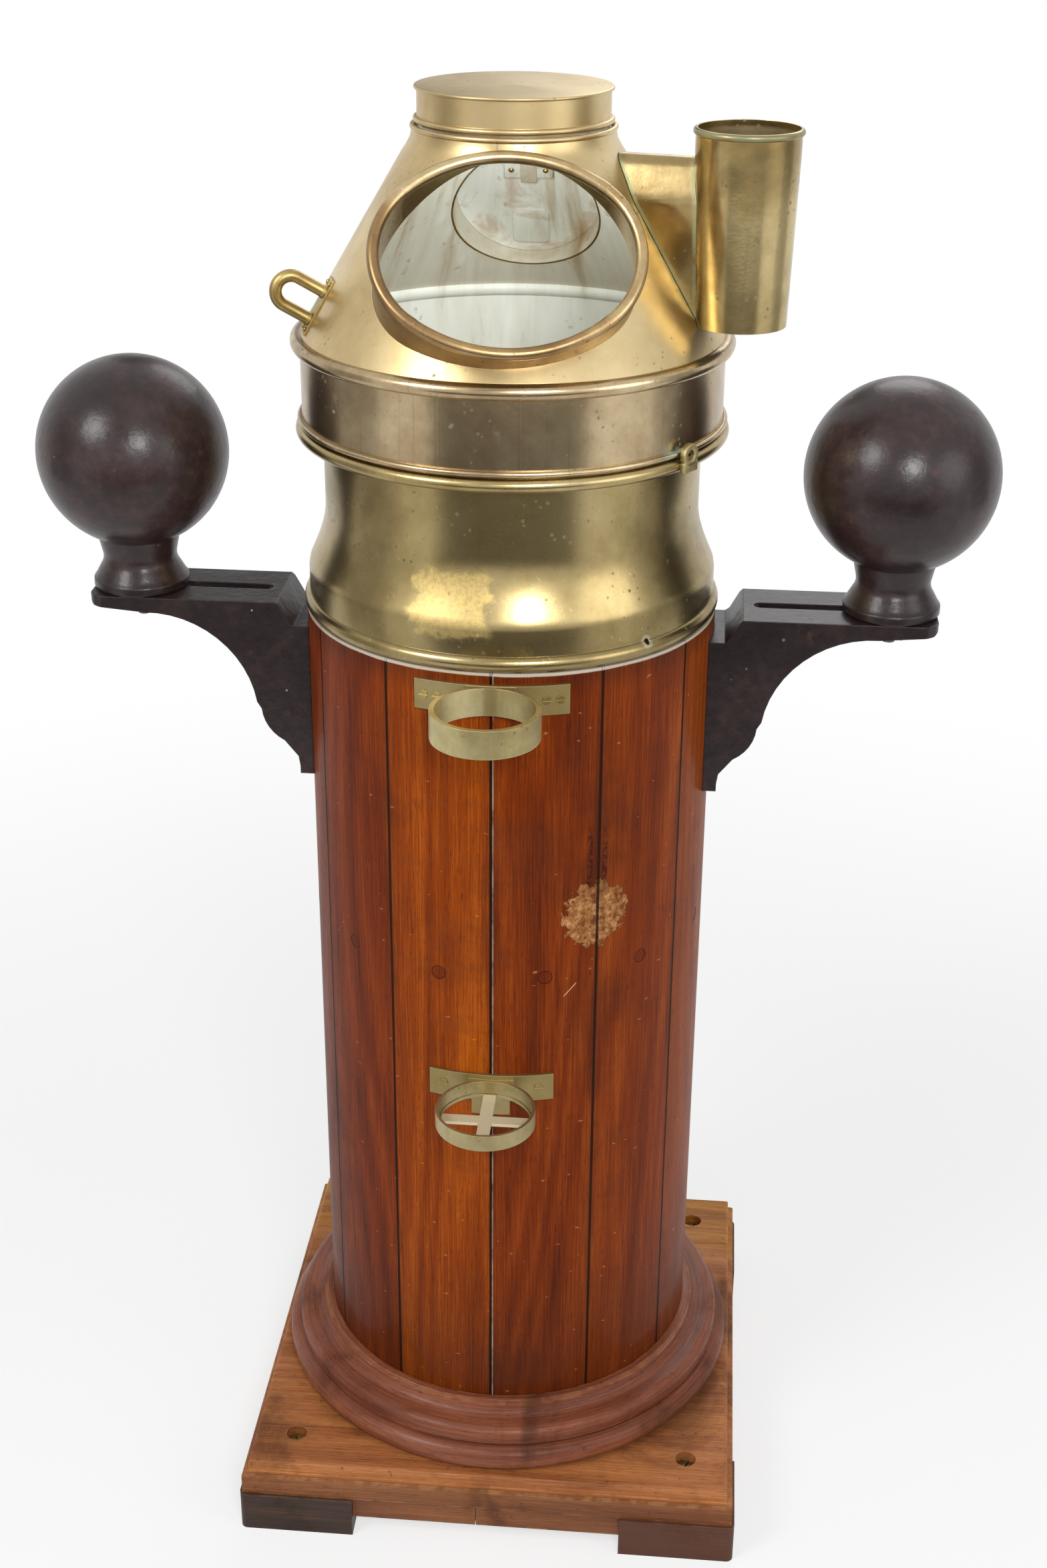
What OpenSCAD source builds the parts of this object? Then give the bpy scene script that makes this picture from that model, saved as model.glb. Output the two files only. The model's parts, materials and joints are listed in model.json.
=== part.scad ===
// Ship binnacle: staved teak pedestal, spun brass collar and hood, iron
// correcting spheres on slotted brackets, and a gimballed compass inside.
// Millimetres, +Z up, origin under the feet on the pedestal's axis.
// The window looks towards -Y. Azimuths run from -Y towards +X.

/* [Base] */
// Height of the corner feet
foot_h = 45; // [38:1:60]
// Length of a foot along the front
foot_len = 117; // [100:1:125]
// Depth of a foot, front to back
foot_deep = 96; // [90:1:120]
// How far a foot stands out past the board
foot_proud = 3; // [0:0.5:5]
// Width and depth of the base board
board_w = 502; // [496:1:540]
// Thickness of the base board
board_t = 37.5; // [32:0.5:50]
// Height of the ogee worked on the board's top edge
board_ogee_h = 14; // [8:0.5:18]
// How far the ogee draws the top face in
board_ogee_in = 6; // [3:0.5:10]
// Width of the cross plank along the rear edge
plank_w = 103; // [85:1:110]
// Height of the rails between the feet
rail_h = 25; // [15:1:32]
// Thickness of the rails
rail_t = 20; // [12:1:26]
// Where the two front rails meet, left of the middle
rail_joint = 10; // [0:1:30]
// Spacing of the corner bolts, side to side
bolt_dx = 404; // [400:1:412]
// Spacing of the corner bolts, front to back
bolt_dy = 400; // [396:1:412]
// Radius of the bolt holes
bolt_r = 5.5; // [4:0.25:7]
// Radius of the counterbores
bolt_sink_r = 10.5; // [9:0.25:12]
// Depth of the counterbores
bolt_sink = 16; // [8:1:22]
// Radius of the slotted bolt heads
bolt_head_r = 9.5; // [8:0.25:10]
// Height of the bolt heads
bolt_head_h = 6; // [4:0.5:8]

/* [Mouldings] */
// How far the lower half-round moulding stands out past the staves
torus_out = 48.5; // [44:0.5:52]
// Height of the lower moulding
torus_h = 27.5; // [22:0.5:34]
// How far the upper moulding stands out past the staves
ogee_out = 37; // [32:0.5:42]
// Height of the upper moulding
ogee_h = 33; // [26:0.5:42]

/* [Drum] */
// Outer radius of the staved drum
drum_r = 192; // [188:1:196]
// Height of the staves above the board
drum_h = 860.5; // [840:0.5:900]
// Number of staves
stave_n = 12; // [12:12:12]
// Thickness of the staves
stave_t = 22; // [18:0.5:26]
// Open seam between staves
seam_gap = 0.8; // [0.4:0.1:1.5]
// Open seam down the middle of the front
front_seam_gap = 1.8; // [0.8:0.1:3]
// Width of the former rings inside the staves
former_w = 26; // [20:1:30]
// Height of the former rings
former_h = 36; // [28:1:44]
// Clear height between the middle and the top former, behind the rear door
door_bay_h = 251; // [250:0.5:262]
// Radius of the wooden plugs over the stave screws
plug_r = 6.5; // [4:0.25:9]
// Depth of the plugs
plug_t = 7; // [4:0.5:10]

/* [Rear door] */
// Height of the rear door
door_h = 226; // [200:1:235]
// Gap round the rear door
door_gap = 1.5; // [1:0.1:2.5]
// Thickness of the battens inside the door
batten_t = 14; // [10:0.5:16]
// Height of each batten
batten_h = 24; // [16:1:34]
// Radius of the hinge barrels
barrel_r = 4.5; // [3.5:0.25:6]
// Radius of the hinge pins
hinge_pin_r = 2.2; // [1.5:0.1:2.8]
// Running clearance of a pin in its bore
pin_clear = 0.06; // [0.02:0.01:0.1]
// Height of a hinge
hinge_h = 36; // [28:1:44]
// Thickness of the hinge leaves
leaf_t = 2; // [1.5:0.25:3]
// Width of each hinge leaf
leaf_w = 22; // [16:1:28]
// Radius of the door's turn knob
knob_r = 13; // [9:0.5:16]
// Length of the latch bar from the knob's axis
latch_len = 26; // [24:0.5:30]

/* [Bar brackets] */
// Radius of the bore that carries the vertical soft-iron bar
bar_bore_r = 43.5; // [38:0.5:46]
// Wall of the upper ring
upper_ring_t = 4.5; // [3:0.25:6]
// Height of the upper ring
upper_ring_h = 26; // [20:1:28]
// Wall of the lower ring
lower_ring_t = 3; // [2:0.25:5]
// Height of the lower ring
lower_ring_h = 16; // [12:1:24]
// Height of the curved fixing plates
bar_plate_h = 28; // [28:1:36]
// Thickness of the fixing plates
bar_plate_t = 3.5; // [2.5:0.25:5]
// Half angle of the upper fixing plate
upper_plate_half = 20.5; // [19.5:0.5:24]
// Half angle of the lower fixing plate
lower_plate_half = 17.6; // [15.6:0.5:22]
// Height of the upper plate's middle below the drum's top
upper_plate_drop = 24; // [22:1:40]
// Distance between the middles of the two plates
bar_span = 399.5; // [370:0.5:430]
// Width of the cross bars under the lower ring
cross_w = 12; // [8:0.5:16]
// Thickness of the cross bars
cross_t = 3; // [2:0.25:5]

/* [Sphere brackets] */
// Reach of a bracket from the pedestal's axis
arm_reach = 397; // [392:1:415]
// Width of a bracket, front to back
arm_w = 86; // [80:1:92]
// Thickness of the slotted top plate
arm_top_t = 12; // [9:0.5:14]
// Thickness of the cheeks
cheek_t = 10; // [7:0.5:13]
// Height of a bracket
arm_h = 174.8; // [168:0.2:182]
// Thickness of the bracket's back plate
arm_back_t = 12; // [9:0.5:16]
// Where the flat top ends, measured from the pedestal's axis
arm_flat_x = 218; // [214:1:224]
// Drop of the shoulder beside the collar
shoulder_drop = 22.5; // [18:0.5:28]
// Radius of the big cove under the arm
cove_r = 101; // [92:1:104]
// Radius of the swelling below the cove
swell_r = 40; // [36:1:44]
// Width of the slot
slot_w = 14; // [13:0.5:18]

/* [Spheres] */
// Radius of the correcting spheres
sphere_r = 88.9; // [80:0.1:95]
// Distance of each sphere's axis from the end of its bracket
sphere_inset = 42; // [40:1:52]
// Height of the sphere's centre above the bracket
sphere_lift = 130; // [124:0.5:138]
// Radius of the sphere's foot
sphere_foot_r = 45; // [40:0.5:48]
// Radius of the neck under the sphere
neck_r = 34.5; // [30:0.5:38]
// Radius of the clamping stud
stud_r = 6; // [4:0.25:6.25]
// Inward travel of each sphere
sphere_travel = 68; // [40:1:70]

/* [Collar] */
// Sheet thickness of the brass work
sheet_t = 2; // [1.5:0.1:3]
// Radius of the collar's base bead
collar_bead_r = 7.5; // [5:0.25:9]
// Outer radius of the collar at its waist
waist_r = 172; // [168:0.5:176]
// How far the band above the base bead stands inside the staves' face
band_in = 3; // [1:0.5:5]
// Height of that band, from the drum's top to the crease
band_h = 43; // [36:0.5:48]
// Height at which the flare reaches the waist
flare_h = 99; // [88:0.5:106]
// Height of the collar
collar_h = 174.5; // [168:0.5:182]
// Radius of the rolled bead round the collar's top
rim_bead_r = 6; // [4.5:0.25:7]
// Outer radius of the rolled bead
rim_r = 196.5; // [193:0.5:200]
// Height of the upstand inside the hood
upstand_h = 14; // [8:0.5:20]
// Radius of the small hole in the band
vent_r = 2.5; // [1.5:0.25:4]
// Azimuth of the small hole
vent_az = 44; // [30:1:60]

/* [Hood] */
// Outer radius of the hood's skirt
skirt_r = 190.5; // [189:0.5:192]
// Height from the collar's top to the middle of the hood bead
skirt_h = 73.5; // [68:0.5:80]
// Radius of the bead between skirt and cone
hood_bead_r = 7; // [5:0.25:8.5]
// Radius of the small bead at the skirt's lower edge
lip_bead_r = 2.6; // [2:0.1:3.5]
// Height of the cone from the hood bead to the neck fillet
cone_h = 161; // [150:1:172]
// Outer radius of the cone where the fillet starts
cone_top_r = 97; // [94:0.5:100]
// Outer radius of the neck
hood_neck_r = 88; // [86:0.5:91]
// Height of the fillet up to the neck
neck_h = 20; // [16:0.5:26]
// Radius of the bead round the neck
neck_bead_r = 2.4; // [1.5:0.1:3]
// Outer radius of the cap's band
cap_r = 83.5; // [82:0.25:85]
// Height of the cap
cap_h = 30; // [24:0.5:36]
// Overhang of the cap's disc
cap_lip = 1.6; // [0.5:0.1:3]
// Thickness of the cap's disc
cap_top_t = 3; // [2:0.25:5]
// Play between the cap and the neck
cap_play = 0.5; // [0.35:0.05:1]

/* [Window] */
// Half width of the window frame over its rim
window_a = 115; // [108:0.5:118]
// Half height of the window frame over its rim
window_b = 92.5; // [86:0.5:95]
// Radius of the frame's rolled rim
window_rim_r = 5.2; // [4:0.1:6.5]
// Elevation of the window's axis
window_tilt = 38.5; // [34:0.5:44]
// Azimuth of the middle of the window
window_az = 3.5; // [0:0.5:6]
// How far the frame is turned past that azimuth
window_turn = 5.5; // [0:0.5:8]
// Distance of the frame's middle from the pedestal's axis
window_out = 148; // [142:0.5:154]
// Height of the frame's middle above the hood bead
window_up = 102.5; // [98:0.5:108]

/* [Lamp] */
// Azimuth of the side lamp
lamp_az = 77; // [70:1:90]
// Distance of the lamp tube from the pedestal's axis
lamp_out = 206; // [202:0.5:214]
// Height of the tube's floor above the hood bead
lamp_up = 27.5; // [24:0.5:36]
// Height of the lamp tube
lamp_h = 161; // [150:1:172]
// Outer radius of the tube at the top
lamp_top_r = 44.5; // [42:0.5:46]
// Outer radius of the tube at the floor
lamp_foot_r = 40; // [37:0.5:41.5]
// Height of the straight mouth that takes the lamp
lamp_mouth_h = 16; // [10:1:24]
// Radius of the rolled rim of the tube
lamp_rim_r = 3; // [2:0.25:4]
// Half width of the duct between tube and hood
duct_half = 22; // [18:0.5:26]
// Height of the duct's ridge above the tube's floor
duct_up = 138; // [130:1:144]
// Height of the duct's straight flanks above the tube's floor
duct_flank = 101; // [92:1:110]

/* [Handle] */
// Azimuth of the carrying handle
handle_az = -74; // [-82:1:-66]
// Radius of the handle's bar
handle_bar_r = 5.5; // [4:0.25:7]
// Distance between the two legs
handle_span = 27; // [24:0.5:34]
// Length of the straight legs
handle_leg = 27; // [22:0.5:36]
// Height of the handle's middle above the hood bead
handle_up = 33; // [32:0.5:40]
// Thickness of the plate under the handle
handle_plate_t = 1.6; // [1:0.1:2.5]

/* [Rear port] */
// Inner radius of the round rear port
port_r = 68; // [62:0.5:71]
// Wall of the port's ring
port_wall = 2; // [1.5:0.1:3]
// How far the ring stands out of the cone
port_proud = 15; // [10:0.5:20]
// Height of the port's middle above the hood bead
port_up = 88; // [84:0.5:92]
// Play between the port's lid and ring
port_play = 0.8; // [0.6:0.05:1.2]
// Depth of the lid's lip
port_lip = 5; // [4:0.5:7]

/* [Compass] */
// Height of the gimbal axis above the drum's top
gimbal_up = 137; // [132:0.5:144]
// Outer radius of the compass bowl
bowl_r = 118; // [112:0.5:119]
// Depth of the bowl below the gimbal axis
bowl_deep = 92; // [85:0.5:96]
// Wall of the bowl
bowl_t = 3; // [2:0.25:4]
// Inner radius of the gimbal ring
gimbal_r = 128; // [126:0.5:129]
// Thickness of the gimbal ring
gimbal_t = 8; // [6:0.5:9]
// Height of the gimbal ring
gimbal_h = 16; // [12:0.5:18]
// Radius of the ring's trunnions
trunnion_r = 5; // [3.5:0.25:6]
// Radius of the bowl's pins
bowl_pin_r = 4.5; // [3:0.25:5.5]
// Inner radius of the ring that carries the gimbal posts
flange_in_r = 136; // [132:0.5:140]
// Thickness of the two gimbal posts
post_t = 10; // [8:0.5:12]
// Width of the gimbal posts
post_w = 28; // [22:1:34]
// Radius of the compass card
card_r = 98; // [90:0.5:104]
// Radius of the card's pivot
pivot_r = 2.5; // [1.5:0.25:4]

/* [Magnets] */
// Half width of the magnet rack, over its boards
rack_half = 96; // [92:0.5:98]
// Thickness of the rack's boards
rack_t = 16; // [12:0.5:18]
// Height of the rack
rack_h = 222; // [205:1:230]
// Radius of the bar magnets
magnet_r = 4.75; // [4:0.05:5.5]
// Play of a magnet in its hole
magnet_play = 0.15; // [0.1:0.05:0.4]
// Distance of the magnets from the middle
magnet_off = 46; // [42:0.5:60]
// Distance between rows of magnet holes
magnet_pitch = 40; // [32:1:44]
// Outer radius of the heeling magnet's tube
heel_r = 32; // [28:0.5:34]
// Length of the heeling magnet's bucket
bucket_h = 70; // [50:1:90]
// Travel of the bucket each way
bucket_travel = 60; // [30:1:65]

/* [Hidden] */
$fn = 64;
stave_names = ["stave_01", "stave_02", "stave_03", "stave_04", "stave_05", "stave_06",
               "stave_07", "stave_08", "stave_09", "stave_10", "stave_11", "stave_12"];

// Small gap between pieces that slide on each other
slide_gap = 0.3;
// Overlap that lets a cut run past a face
cut = 1;
// Heights of the main levels above the floor
board_top = foot_h + board_t;
drum_top = board_top + drum_h;
collar_top = drum_top + collar_h;
hood_z = collar_top + skirt_h;
cone_top = hood_z + cone_h;
neck_top = cone_top + neck_h;
// Corner bolts
bolt_play = 0.2;
bolt_tip_z = 4;
bolt_slot_w = 2.4;
// Staves
stave_in_r = drum_r - stave_t;
stave_step = 360 / stave_n;
gap_angle = seam_gap / drum_r * 180 / PI;
front_gap_angle = front_seam_gap / drum_r * 180 / PI;
top_former_z = drum_top - former_h;
mid_former_z = top_former_z - door_bay_h;
// Mouldings round the drum's foot
torus_r = drum_r + torus_out;
ogee_r = drum_r + ogee_out;
ogee_nose = 9;
ogee_fillet = 8;
// Rear door, two staves wide, between the middle and top formers
door_az = 180;
door_half = stave_step;
shelf_t = 12;
shelf_hole_r = 8;
shelf_hole_in = 22;
door_mid = (mid_former_z + top_former_z) / 2;
door_z0 = door_mid - door_h / 2;
door_z1 = door_mid + door_h / 2;
door_gap_angle = door_gap / drum_r * 180 / PI;
hinge_az = door_az - door_half;
hinge_out = drum_r + barrel_r + 0.5;
hinge_inset = 20;
leaf_gap_angle = 1.9;
batten_inset = 4;
pin_end = 1.5;
latch_az = door_az + door_half - 7;
latch_bar_t = 4;
latch_bar_w = 12;
latch_set = 5;
spindle_r = 4;
knob_t = 5;
grip_t = 6;
grip_h = 11;
// Screws that hold the brass plates and the iron brackets
plate_screw_r = 4.2;
plate_screw_len = 18;
plate_shank_r = 2;
plate_head_seat = 2;
plate_head_stand = 0.8;
plate_slot = 1;
coach_head_r = 8;
coach_head_t = 6;
coach_r = 4;
coach_len = 30;
coach_y = 17;
coach_low = 34;
coach_high = 26;
// Bar brackets
upper_plate_z = drum_top - upper_plate_drop;
lower_plate_z = upper_plate_z - bar_span;
ring_bite = 1.5;
bar_y = -(drum_r + bar_plate_t + upper_ring_t + bar_bore_r - ring_bite);
bar_web_half = 22;
bar_web_root = 2;
upper_web_out = 12;
lower_web_out = 10;
bar_ledge = 1;
bar_relief = 0.6;
bar_relief_h = 1;
lower_ring_up = 1;
cross_set = 0.5;
upper_screws = [-18, -14.4, 14.4, 18];
lower_screws = [-13.4, 13.4];
lower_lug_half = 18;
lower_lug_h = 16;
lower_lug_set = 0.6;
// Sphere brackets
arm_top = drum_top + 0.5;
arm_bottom = arm_top - arm_h;
shoulder_x = drum_r + 10;
shoulder_z = arm_top - shoulder_drop;
arm_end_r = 14;
arm_lip_t = 7;
arm_nose_t = 11;
sphere_x = arm_reach - sphere_inset;
slot_x0 = arm_flat_x + 10;
slot_x1 = sphere_x + stud_r + slide_gap;
toe_x = drum_r + arm_back_t - 2;
cove_top = arm_top - 14.5;
cove_in = 37;
cove_cx = toe_x + cove_in + cove_r;
cove_cz = cove_top - cove_r;
swell_cx = drum_r + 4;
swell_cz = cove_cz + 10;
nut_h = 10;
nut_r = 12;
washer_t = 3;
washer_lap = 6;
stud_end = 8;
sphere_foot_t = 9;
sphere_cove_r = 17;
// Collar and hood
band_r = drum_r - band_in;
rim_z = collar_top - rim_bead_r;
crease_h = 6;
vent_up = 14;
collar_seat = 5;
upstand_r = skirt_r - sheet_t - 1.2;
lip_z = collar_top + 1.5 + lip_bead_r;
hood_bead_x = skirt_r + 1.5;
cone_foot_r = skirt_r + 2.8;
cone_slope = (cone_foot_r - cone_top_r) / cone_h;
cone_lean = atan(cone_slope);
spigot_r = cap_r - sheet_t - cap_play;
spigot_top = neck_top + cap_h - cap_top_t - 4;
bead_z = neck_top + neck_bead_r;
cap_z0 = bead_z + neck_bead_r + 0.4;
cap_top = neck_top + cap_h + 5;
// Window oval drawn from four arcs
window_z = hood_z + window_up;
oval_end_r = window_a * 0.7;
oval_end_c = window_a - oval_end_r;
oval_drop = window_b - oval_end_r;
oval_side_c = (oval_end_c * oval_end_c - oval_drop * oval_drop) / (2 * oval_drop);
oval_side_r = window_b + oval_side_c;
oval_join_x = oval_end_c * oval_side_r / (oval_side_r - oval_end_r);
oval_side_half = atan(oval_end_c / oval_side_c);
window_depth = 130;
rim_trim = 0.6;
rim_sleeve = 8;
rim_sleeve_t = 0.25;
flange_lap = 0.4;
// Lamp
lamp_z0 = hood_z + lamp_up;
lamp_z1 = lamp_z0 + lamp_h;
lamp_wall = 1.6;
duct_top_r = 13;
duct_wall = 1.6;
duct_mouth_z = lamp_z0 + 40;
duct_hip = 8;
duct_lip = 2;
solder_gap = 0.4;
// Rear port, its axis square to the cone
port_z = hood_z + port_up;
port_ring_r = port_r + port_wall;
port_lid_r = port_ring_r + port_play + sheet_t;
port_hinge_up = port_lid_r + 4;
port_barrel_r = 4;
port_pin_r = 2;
port_ear_t = 8;
port_knuckle = 24;
port_axis_out = 4;
port_plate_w = 33;
port_plate_h = 25.5;
port_plate_t = 1.5;
port_tongue_t = 5;
// Handle
handle_z = hood_z + handle_up;
handle_plate_w = 22;
plate_lift = 0.35;
handle_plate_len = handle_span + 2 * handle_bar_r + 16;
// Lug for the hood's padlock
lug_az = 55;
lug_w = 21;
lug_t = 4.5;
lug_hole_r = 4.3;
lug_h = 31;
lug_bite = 0.8;
lug_hole_down = 12;
// Compass
gimbal_z = drum_top + gimbal_up;
post_x = gimbal_r + gimbal_t + 12;
trunnion_end = post_x + post_t;
post_foot_h = 7;
post_foot_lap = 8;
post_foot_end = stave_in_r + collar_seat - 9;
post_window_in = 36;
bowl_top = 16;
bowl_straight = 35;
bezel_h = 5;
glass_t = 3;
glass_r = bowl_r - bowl_t / 2;
bezel_r = bowl_r + 2;
bezel_lap = 8;
card_t = 1;
card_up = 3;
card_hub_r = 9;
card_hub_h = 6;
card_hub_bore = 4;
pivot_lift = 0.2;
pivot_foot_r = 8;
pivot_foot_h = 6;
pivot_stem_r = 5;
weight_r = 40;
weight_t = 10;
// Magnet rack and heeling magnet
shelf_z1 = mid_former_z + shelf_t;
rack_rows = [1, 2, 3, 4];
rack_gap = 0.1;
magnet_len = 2 * rack_half + 4;
athwart_row = 2;
heel_wall = 2;
heel_h = rack_h + 4;
bucket_r = heel_r - heel_wall - slide_gap;
bucket_z = shelf_z1 + heel_h / 2 - bucket_h / 2;
bucket_floor = 4;
heel_magnet_r = 9;
heel_flange = 10;
heel_flange_t = 3;
clamp_r = 3;
clamp_slot_w = 7;
clamp_nut_r = 9;
clamp_out = 8.6;
hand_hole_w = 64;
hand_hole_h = 176;

// Turns a piece built at the front round to an azimuth
module at(az) {
    rotate([0, 0, az]) children();
}

// A curved block: middle azimuth, width in degrees, radii and heights
module arc_block(az, w, r0, r1, z0, z1) {
    rotate([0, 0, az - 90 - w / 2]) rotate_extrude(angle = w) translate([r0, z0]) square([r1 - r0, z1 - z0]);
}

module ring(r0, r1, z0, z1) {
    rotate_extrude() translate([r0, z0]) square([r1 - r0, z1 - z0]);
}

module rod_z(r, z0, z1) {
    translate([0, 0, z0]) cylinder(h = z1 - z0, r = r);
}

// A rod that points outwards at the front, from distance y0 to y1
module rod_out(r, y0, y1) {
    translate([0, -y0, 0]) rotate([90, 0, 0]) cylinder(h = y1 - y0, r = r);
}

function arc_points(cx, cy, r, a0, a1, n) =
    [for (i = [0 : n]) [cx + r * cos(a0 + (a1 - a0) * i / n), cy + r * sin(a0 + (a1 - a0) * i / n)]];

function both_signs(v) = [for (s = [-1, 1]) s * v];

function bolt_places() = [for (x = both_signs(bolt_dx / 2)) for (y = both_signs(bolt_dy / 2)) [x, y]];

// Section of the base board's moulded edge, over its full width
module board_section() {
    half = board_w / 2;
    ogee_z = board_t - board_ogee_h;
    step = board_ogee_in / 3;
    quirk = 2;
    hollow_r = board_ogee_h * 0.55;
    round_r = 5;
    edge = concat([[half, 0], [half, ogee_z - quirk]],
                  [[half - step, ogee_z - quirk / 2], [half - step, ogee_z]],
                  arc_points(half - step, ogee_z + hollow_r, hollow_r, -90, -125, 4),
                  arc_points(half - board_ogee_in - round_r, board_t - round_r, round_r, 15, 90, 6));
    polygon(concat(edge, [for (i = [len(edge) - 1 : -1 : 0]) [-edge[i][0], edge[i][1]]]));
}

module moulded_board() {
    intersection() {
        translate([0, board_w, foot_h]) rotate([90, 0, 0]) linear_extrude(2 * board_w) board_section();
        translate([-board_w, 0, foot_h]) rotate([90, 0, 90]) linear_extrude(2 * board_w) board_section();
    }
}

module bolt_holes() {
    for (p = bolt_places()) translate([p[0], p[1], 0]) {
        rod_z(bolt_r, -cut, board_top + cut);
        rod_z(bolt_sink_r, board_top - bolt_sink, board_top + cut);
    }
}

module base_board() {
    joint_y = board_w / 2 - plank_w;
    color("sienna") difference() {
        moulded_board();
        translate([-board_w, joint_y, 0]) cube([2 * board_w, board_w, board_top + cut]);
        bolt_holes();
    }
}

module base_rear_plank() {
    joint_y = board_w / 2 - plank_w + seam_gap / 2;
    color("peru") difference() {
        moulded_board();
        translate([-board_w, joint_y - 2 * board_w, 0]) cube([2 * board_w, 2 * board_w, board_top + cut]);
        bolt_holes();
    }
}

module base_rails() {
    set_in = 3;
    half = board_w / 2 - set_in;
    span_x = board_w / 2 + foot_proud - foot_len;
    span_y = board_w / 2 + foot_proud - foot_deep;
    z0 = foot_h - rail_h;
    color("saddlebrown") {
        translate([-span_x, -half, z0]) cube([span_x - rail_joint - seam_gap / 2, rail_t, rail_h]);
        translate([-rail_joint + seam_gap / 2, -half, z0])
            cube([span_x + rail_joint - seam_gap / 2, rail_t, rail_h]);
        translate([-span_x, half - rail_t, z0]) cube([2 * span_x, rail_t, rail_h]);
        for (x = [-half, half - rail_t]) translate([x, -span_y, z0]) cube([rail_t, 2 * span_y, rail_h]);
    }
}

module corner_feet() {
    outer = board_w / 2 + foot_proud;
    round_r = 7;
    color("dimgray") difference() {
        for (sx = [0, 1]) for (sy = [0, 1]) mirror([sx, 0, 0]) mirror([0, sy, 0])
            translate([outer - foot_len, outer - foot_deep, 0]) linear_extrude(foot_h) difference() {
                square([foot_len, foot_deep]);
                translate([foot_len - round_r, foot_deep - round_r]) difference() {
                    square(2 * round_r);
                    circle(round_r);
                }
            }
        for (p = bolt_places()) translate([p[0], p[1], 0]) rod_z(bolt_r, -cut, foot_h + cut);
    }
}

module corner_bolts() {
    seat_z = board_top - bolt_sink;
    color("darkkhaki") for (p = bolt_places()) translate([p[0], p[1], 0]) difference() {
        union() {
            rod_z(bolt_r - bolt_play, bolt_tip_z, seat_z);
            rod_z(bolt_head_r, seat_z, seat_z + bolt_head_h);
        }
        rotate([0, 0, p[0] * 0.3]) translate([-2 * bolt_head_r, -bolt_slot_w / 2, seat_z + bolt_head_h / 2])
            cube([4 * bolt_head_r, bolt_slot_w, bolt_head_h]);
    }
}

module lower_moulding() {
    nose = torus_h / 2;
    color("saddlebrown") rotate_extrude() union() {
        translate([drum_r, board_top]) square([torus_r - nose - drum_r, torus_h]);
        translate([torus_r - nose, board_top + nose]) circle(nose);
    }
}

module upper_moulding() {
    z0 = board_top + torus_h;
    z1 = z0 + ogee_h;
    fillet_r = drum_r + ogee_fillet;
    cove = ogee_h - 2 * ogee_nose - 6;
    color("brown") rotate_extrude() polygon(concat(
        [[drum_r, z0], [ogee_r - 3, z0], [ogee_r, z0 + 2]],
        arc_points(ogee_r - ogee_nose, z0 + ogee_nose + 1, ogee_nose, -15, 80, 7),
        arc_points(fillet_r + cove + 4, z1 - 3, cove + 2, -95, -178, 7),
        [[fillet_r, z1 - 3], [fillet_r - 1, z1], [drum_r, z1]]));
}

module drum_formers() {
    color("burlywood") {
        for (z = [board_top, mid_former_z - former_h, top_former_z])
            ring(stave_in_r - former_w, stave_in_r, z, z + former_h);
    }
}

// Azimuth at which a stave starts and its width, with the wider front seam
function stave_start(i) = i * stave_step + (i == 0 ? front_gap_angle / 2 : gap_angle / 2);
function stave_end(i) = (i + 1) * stave_step - (i == stave_n - 1 ? front_gap_angle / 2 : gap_angle / 2);

module plug_places() {
    for (i = [0 : stave_n - 1]) at((i + 0.5) * stave_step)
        translate([0, 0, mid_former_z - former_h / 2]) children();
}

module stave(i) {
    a0 = stave_start(i);
    a1 = stave_end(i);
    mid = (a0 + a1) / 2;
    is_rear = abs(mid - door_az) < door_half;
    color(i % 3 == 0 ? "chocolate" : "sienna") difference() {
        arc_block(mid, a1 - a0, stave_in_r, drum_r, board_top, drum_top);
        at((i + 0.5) * stave_step) translate([0, 0, mid_former_z - former_h / 2])
            rod_out(plug_r, drum_r - plug_t, drum_r + cut);
        if (is_rear)
            arc_block(door_az, 2 * (door_half + cut), stave_in_r - cut, drum_r + cut, door_z0, door_z1);
        if (mid < stave_step || mid > 360 - stave_step) bar_screw_shanks();
        if (abs(mid - 90) < stave_step || abs(mid - 270) < stave_step)
            coach_places() rod_out(coach_r, drum_r - coach_len, drum_r + cut);
    }
}

module stave_plugs() {
    color("maroon") intersection() {
        plug_places() rod_out(plug_r, drum_r - plug_t, drum_r + cut);
        rod_z(drum_r, board_top, drum_top);
    }
}

module bar_screw_places() {
    for (a = upper_screws) at(a) translate([0, 0, upper_plate_z]) children();
    for (a = lower_screws) at(a) translate([0, 0, lower_plate_z]) children();
}

module bar_screw_shanks() {
    bar_screw_places() rod_out(plate_shank_r, drum_r - plate_screw_len, drum_r + cut);
}

module bar_bracket_screws() {
    head_y = drum_r + bar_plate_t;
    color("goldenrod") bar_screw_places() difference() {
        union() {
            rod_out(plate_shank_r, drum_r - plate_screw_len, head_y);
            rod_out(plate_screw_r, head_y - plate_head_seat, head_y + plate_head_stand);
        }
        translate([-plate_screw_r - cut, -head_y - plate_head_stand - cut, -plate_slot / 2])
            cube([2 * (plate_screw_r + cut), plate_head_stand + cut, plate_slot]);
    }
}

module bar_plate(z, half, h) {
    difference() {
        arc_block(0, 2 * half, drum_r, drum_r + bar_plate_t, z - h / 2, z + h / 2);
        bar_screw_places() {
            rod_out(plate_shank_r, drum_r - cut, drum_r + bar_plate_t + cut);
            rod_out(plate_screw_r, drum_r + bar_plate_t - plate_head_seat, drum_r + bar_plate_t + cut);
        }
    }
}

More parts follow.
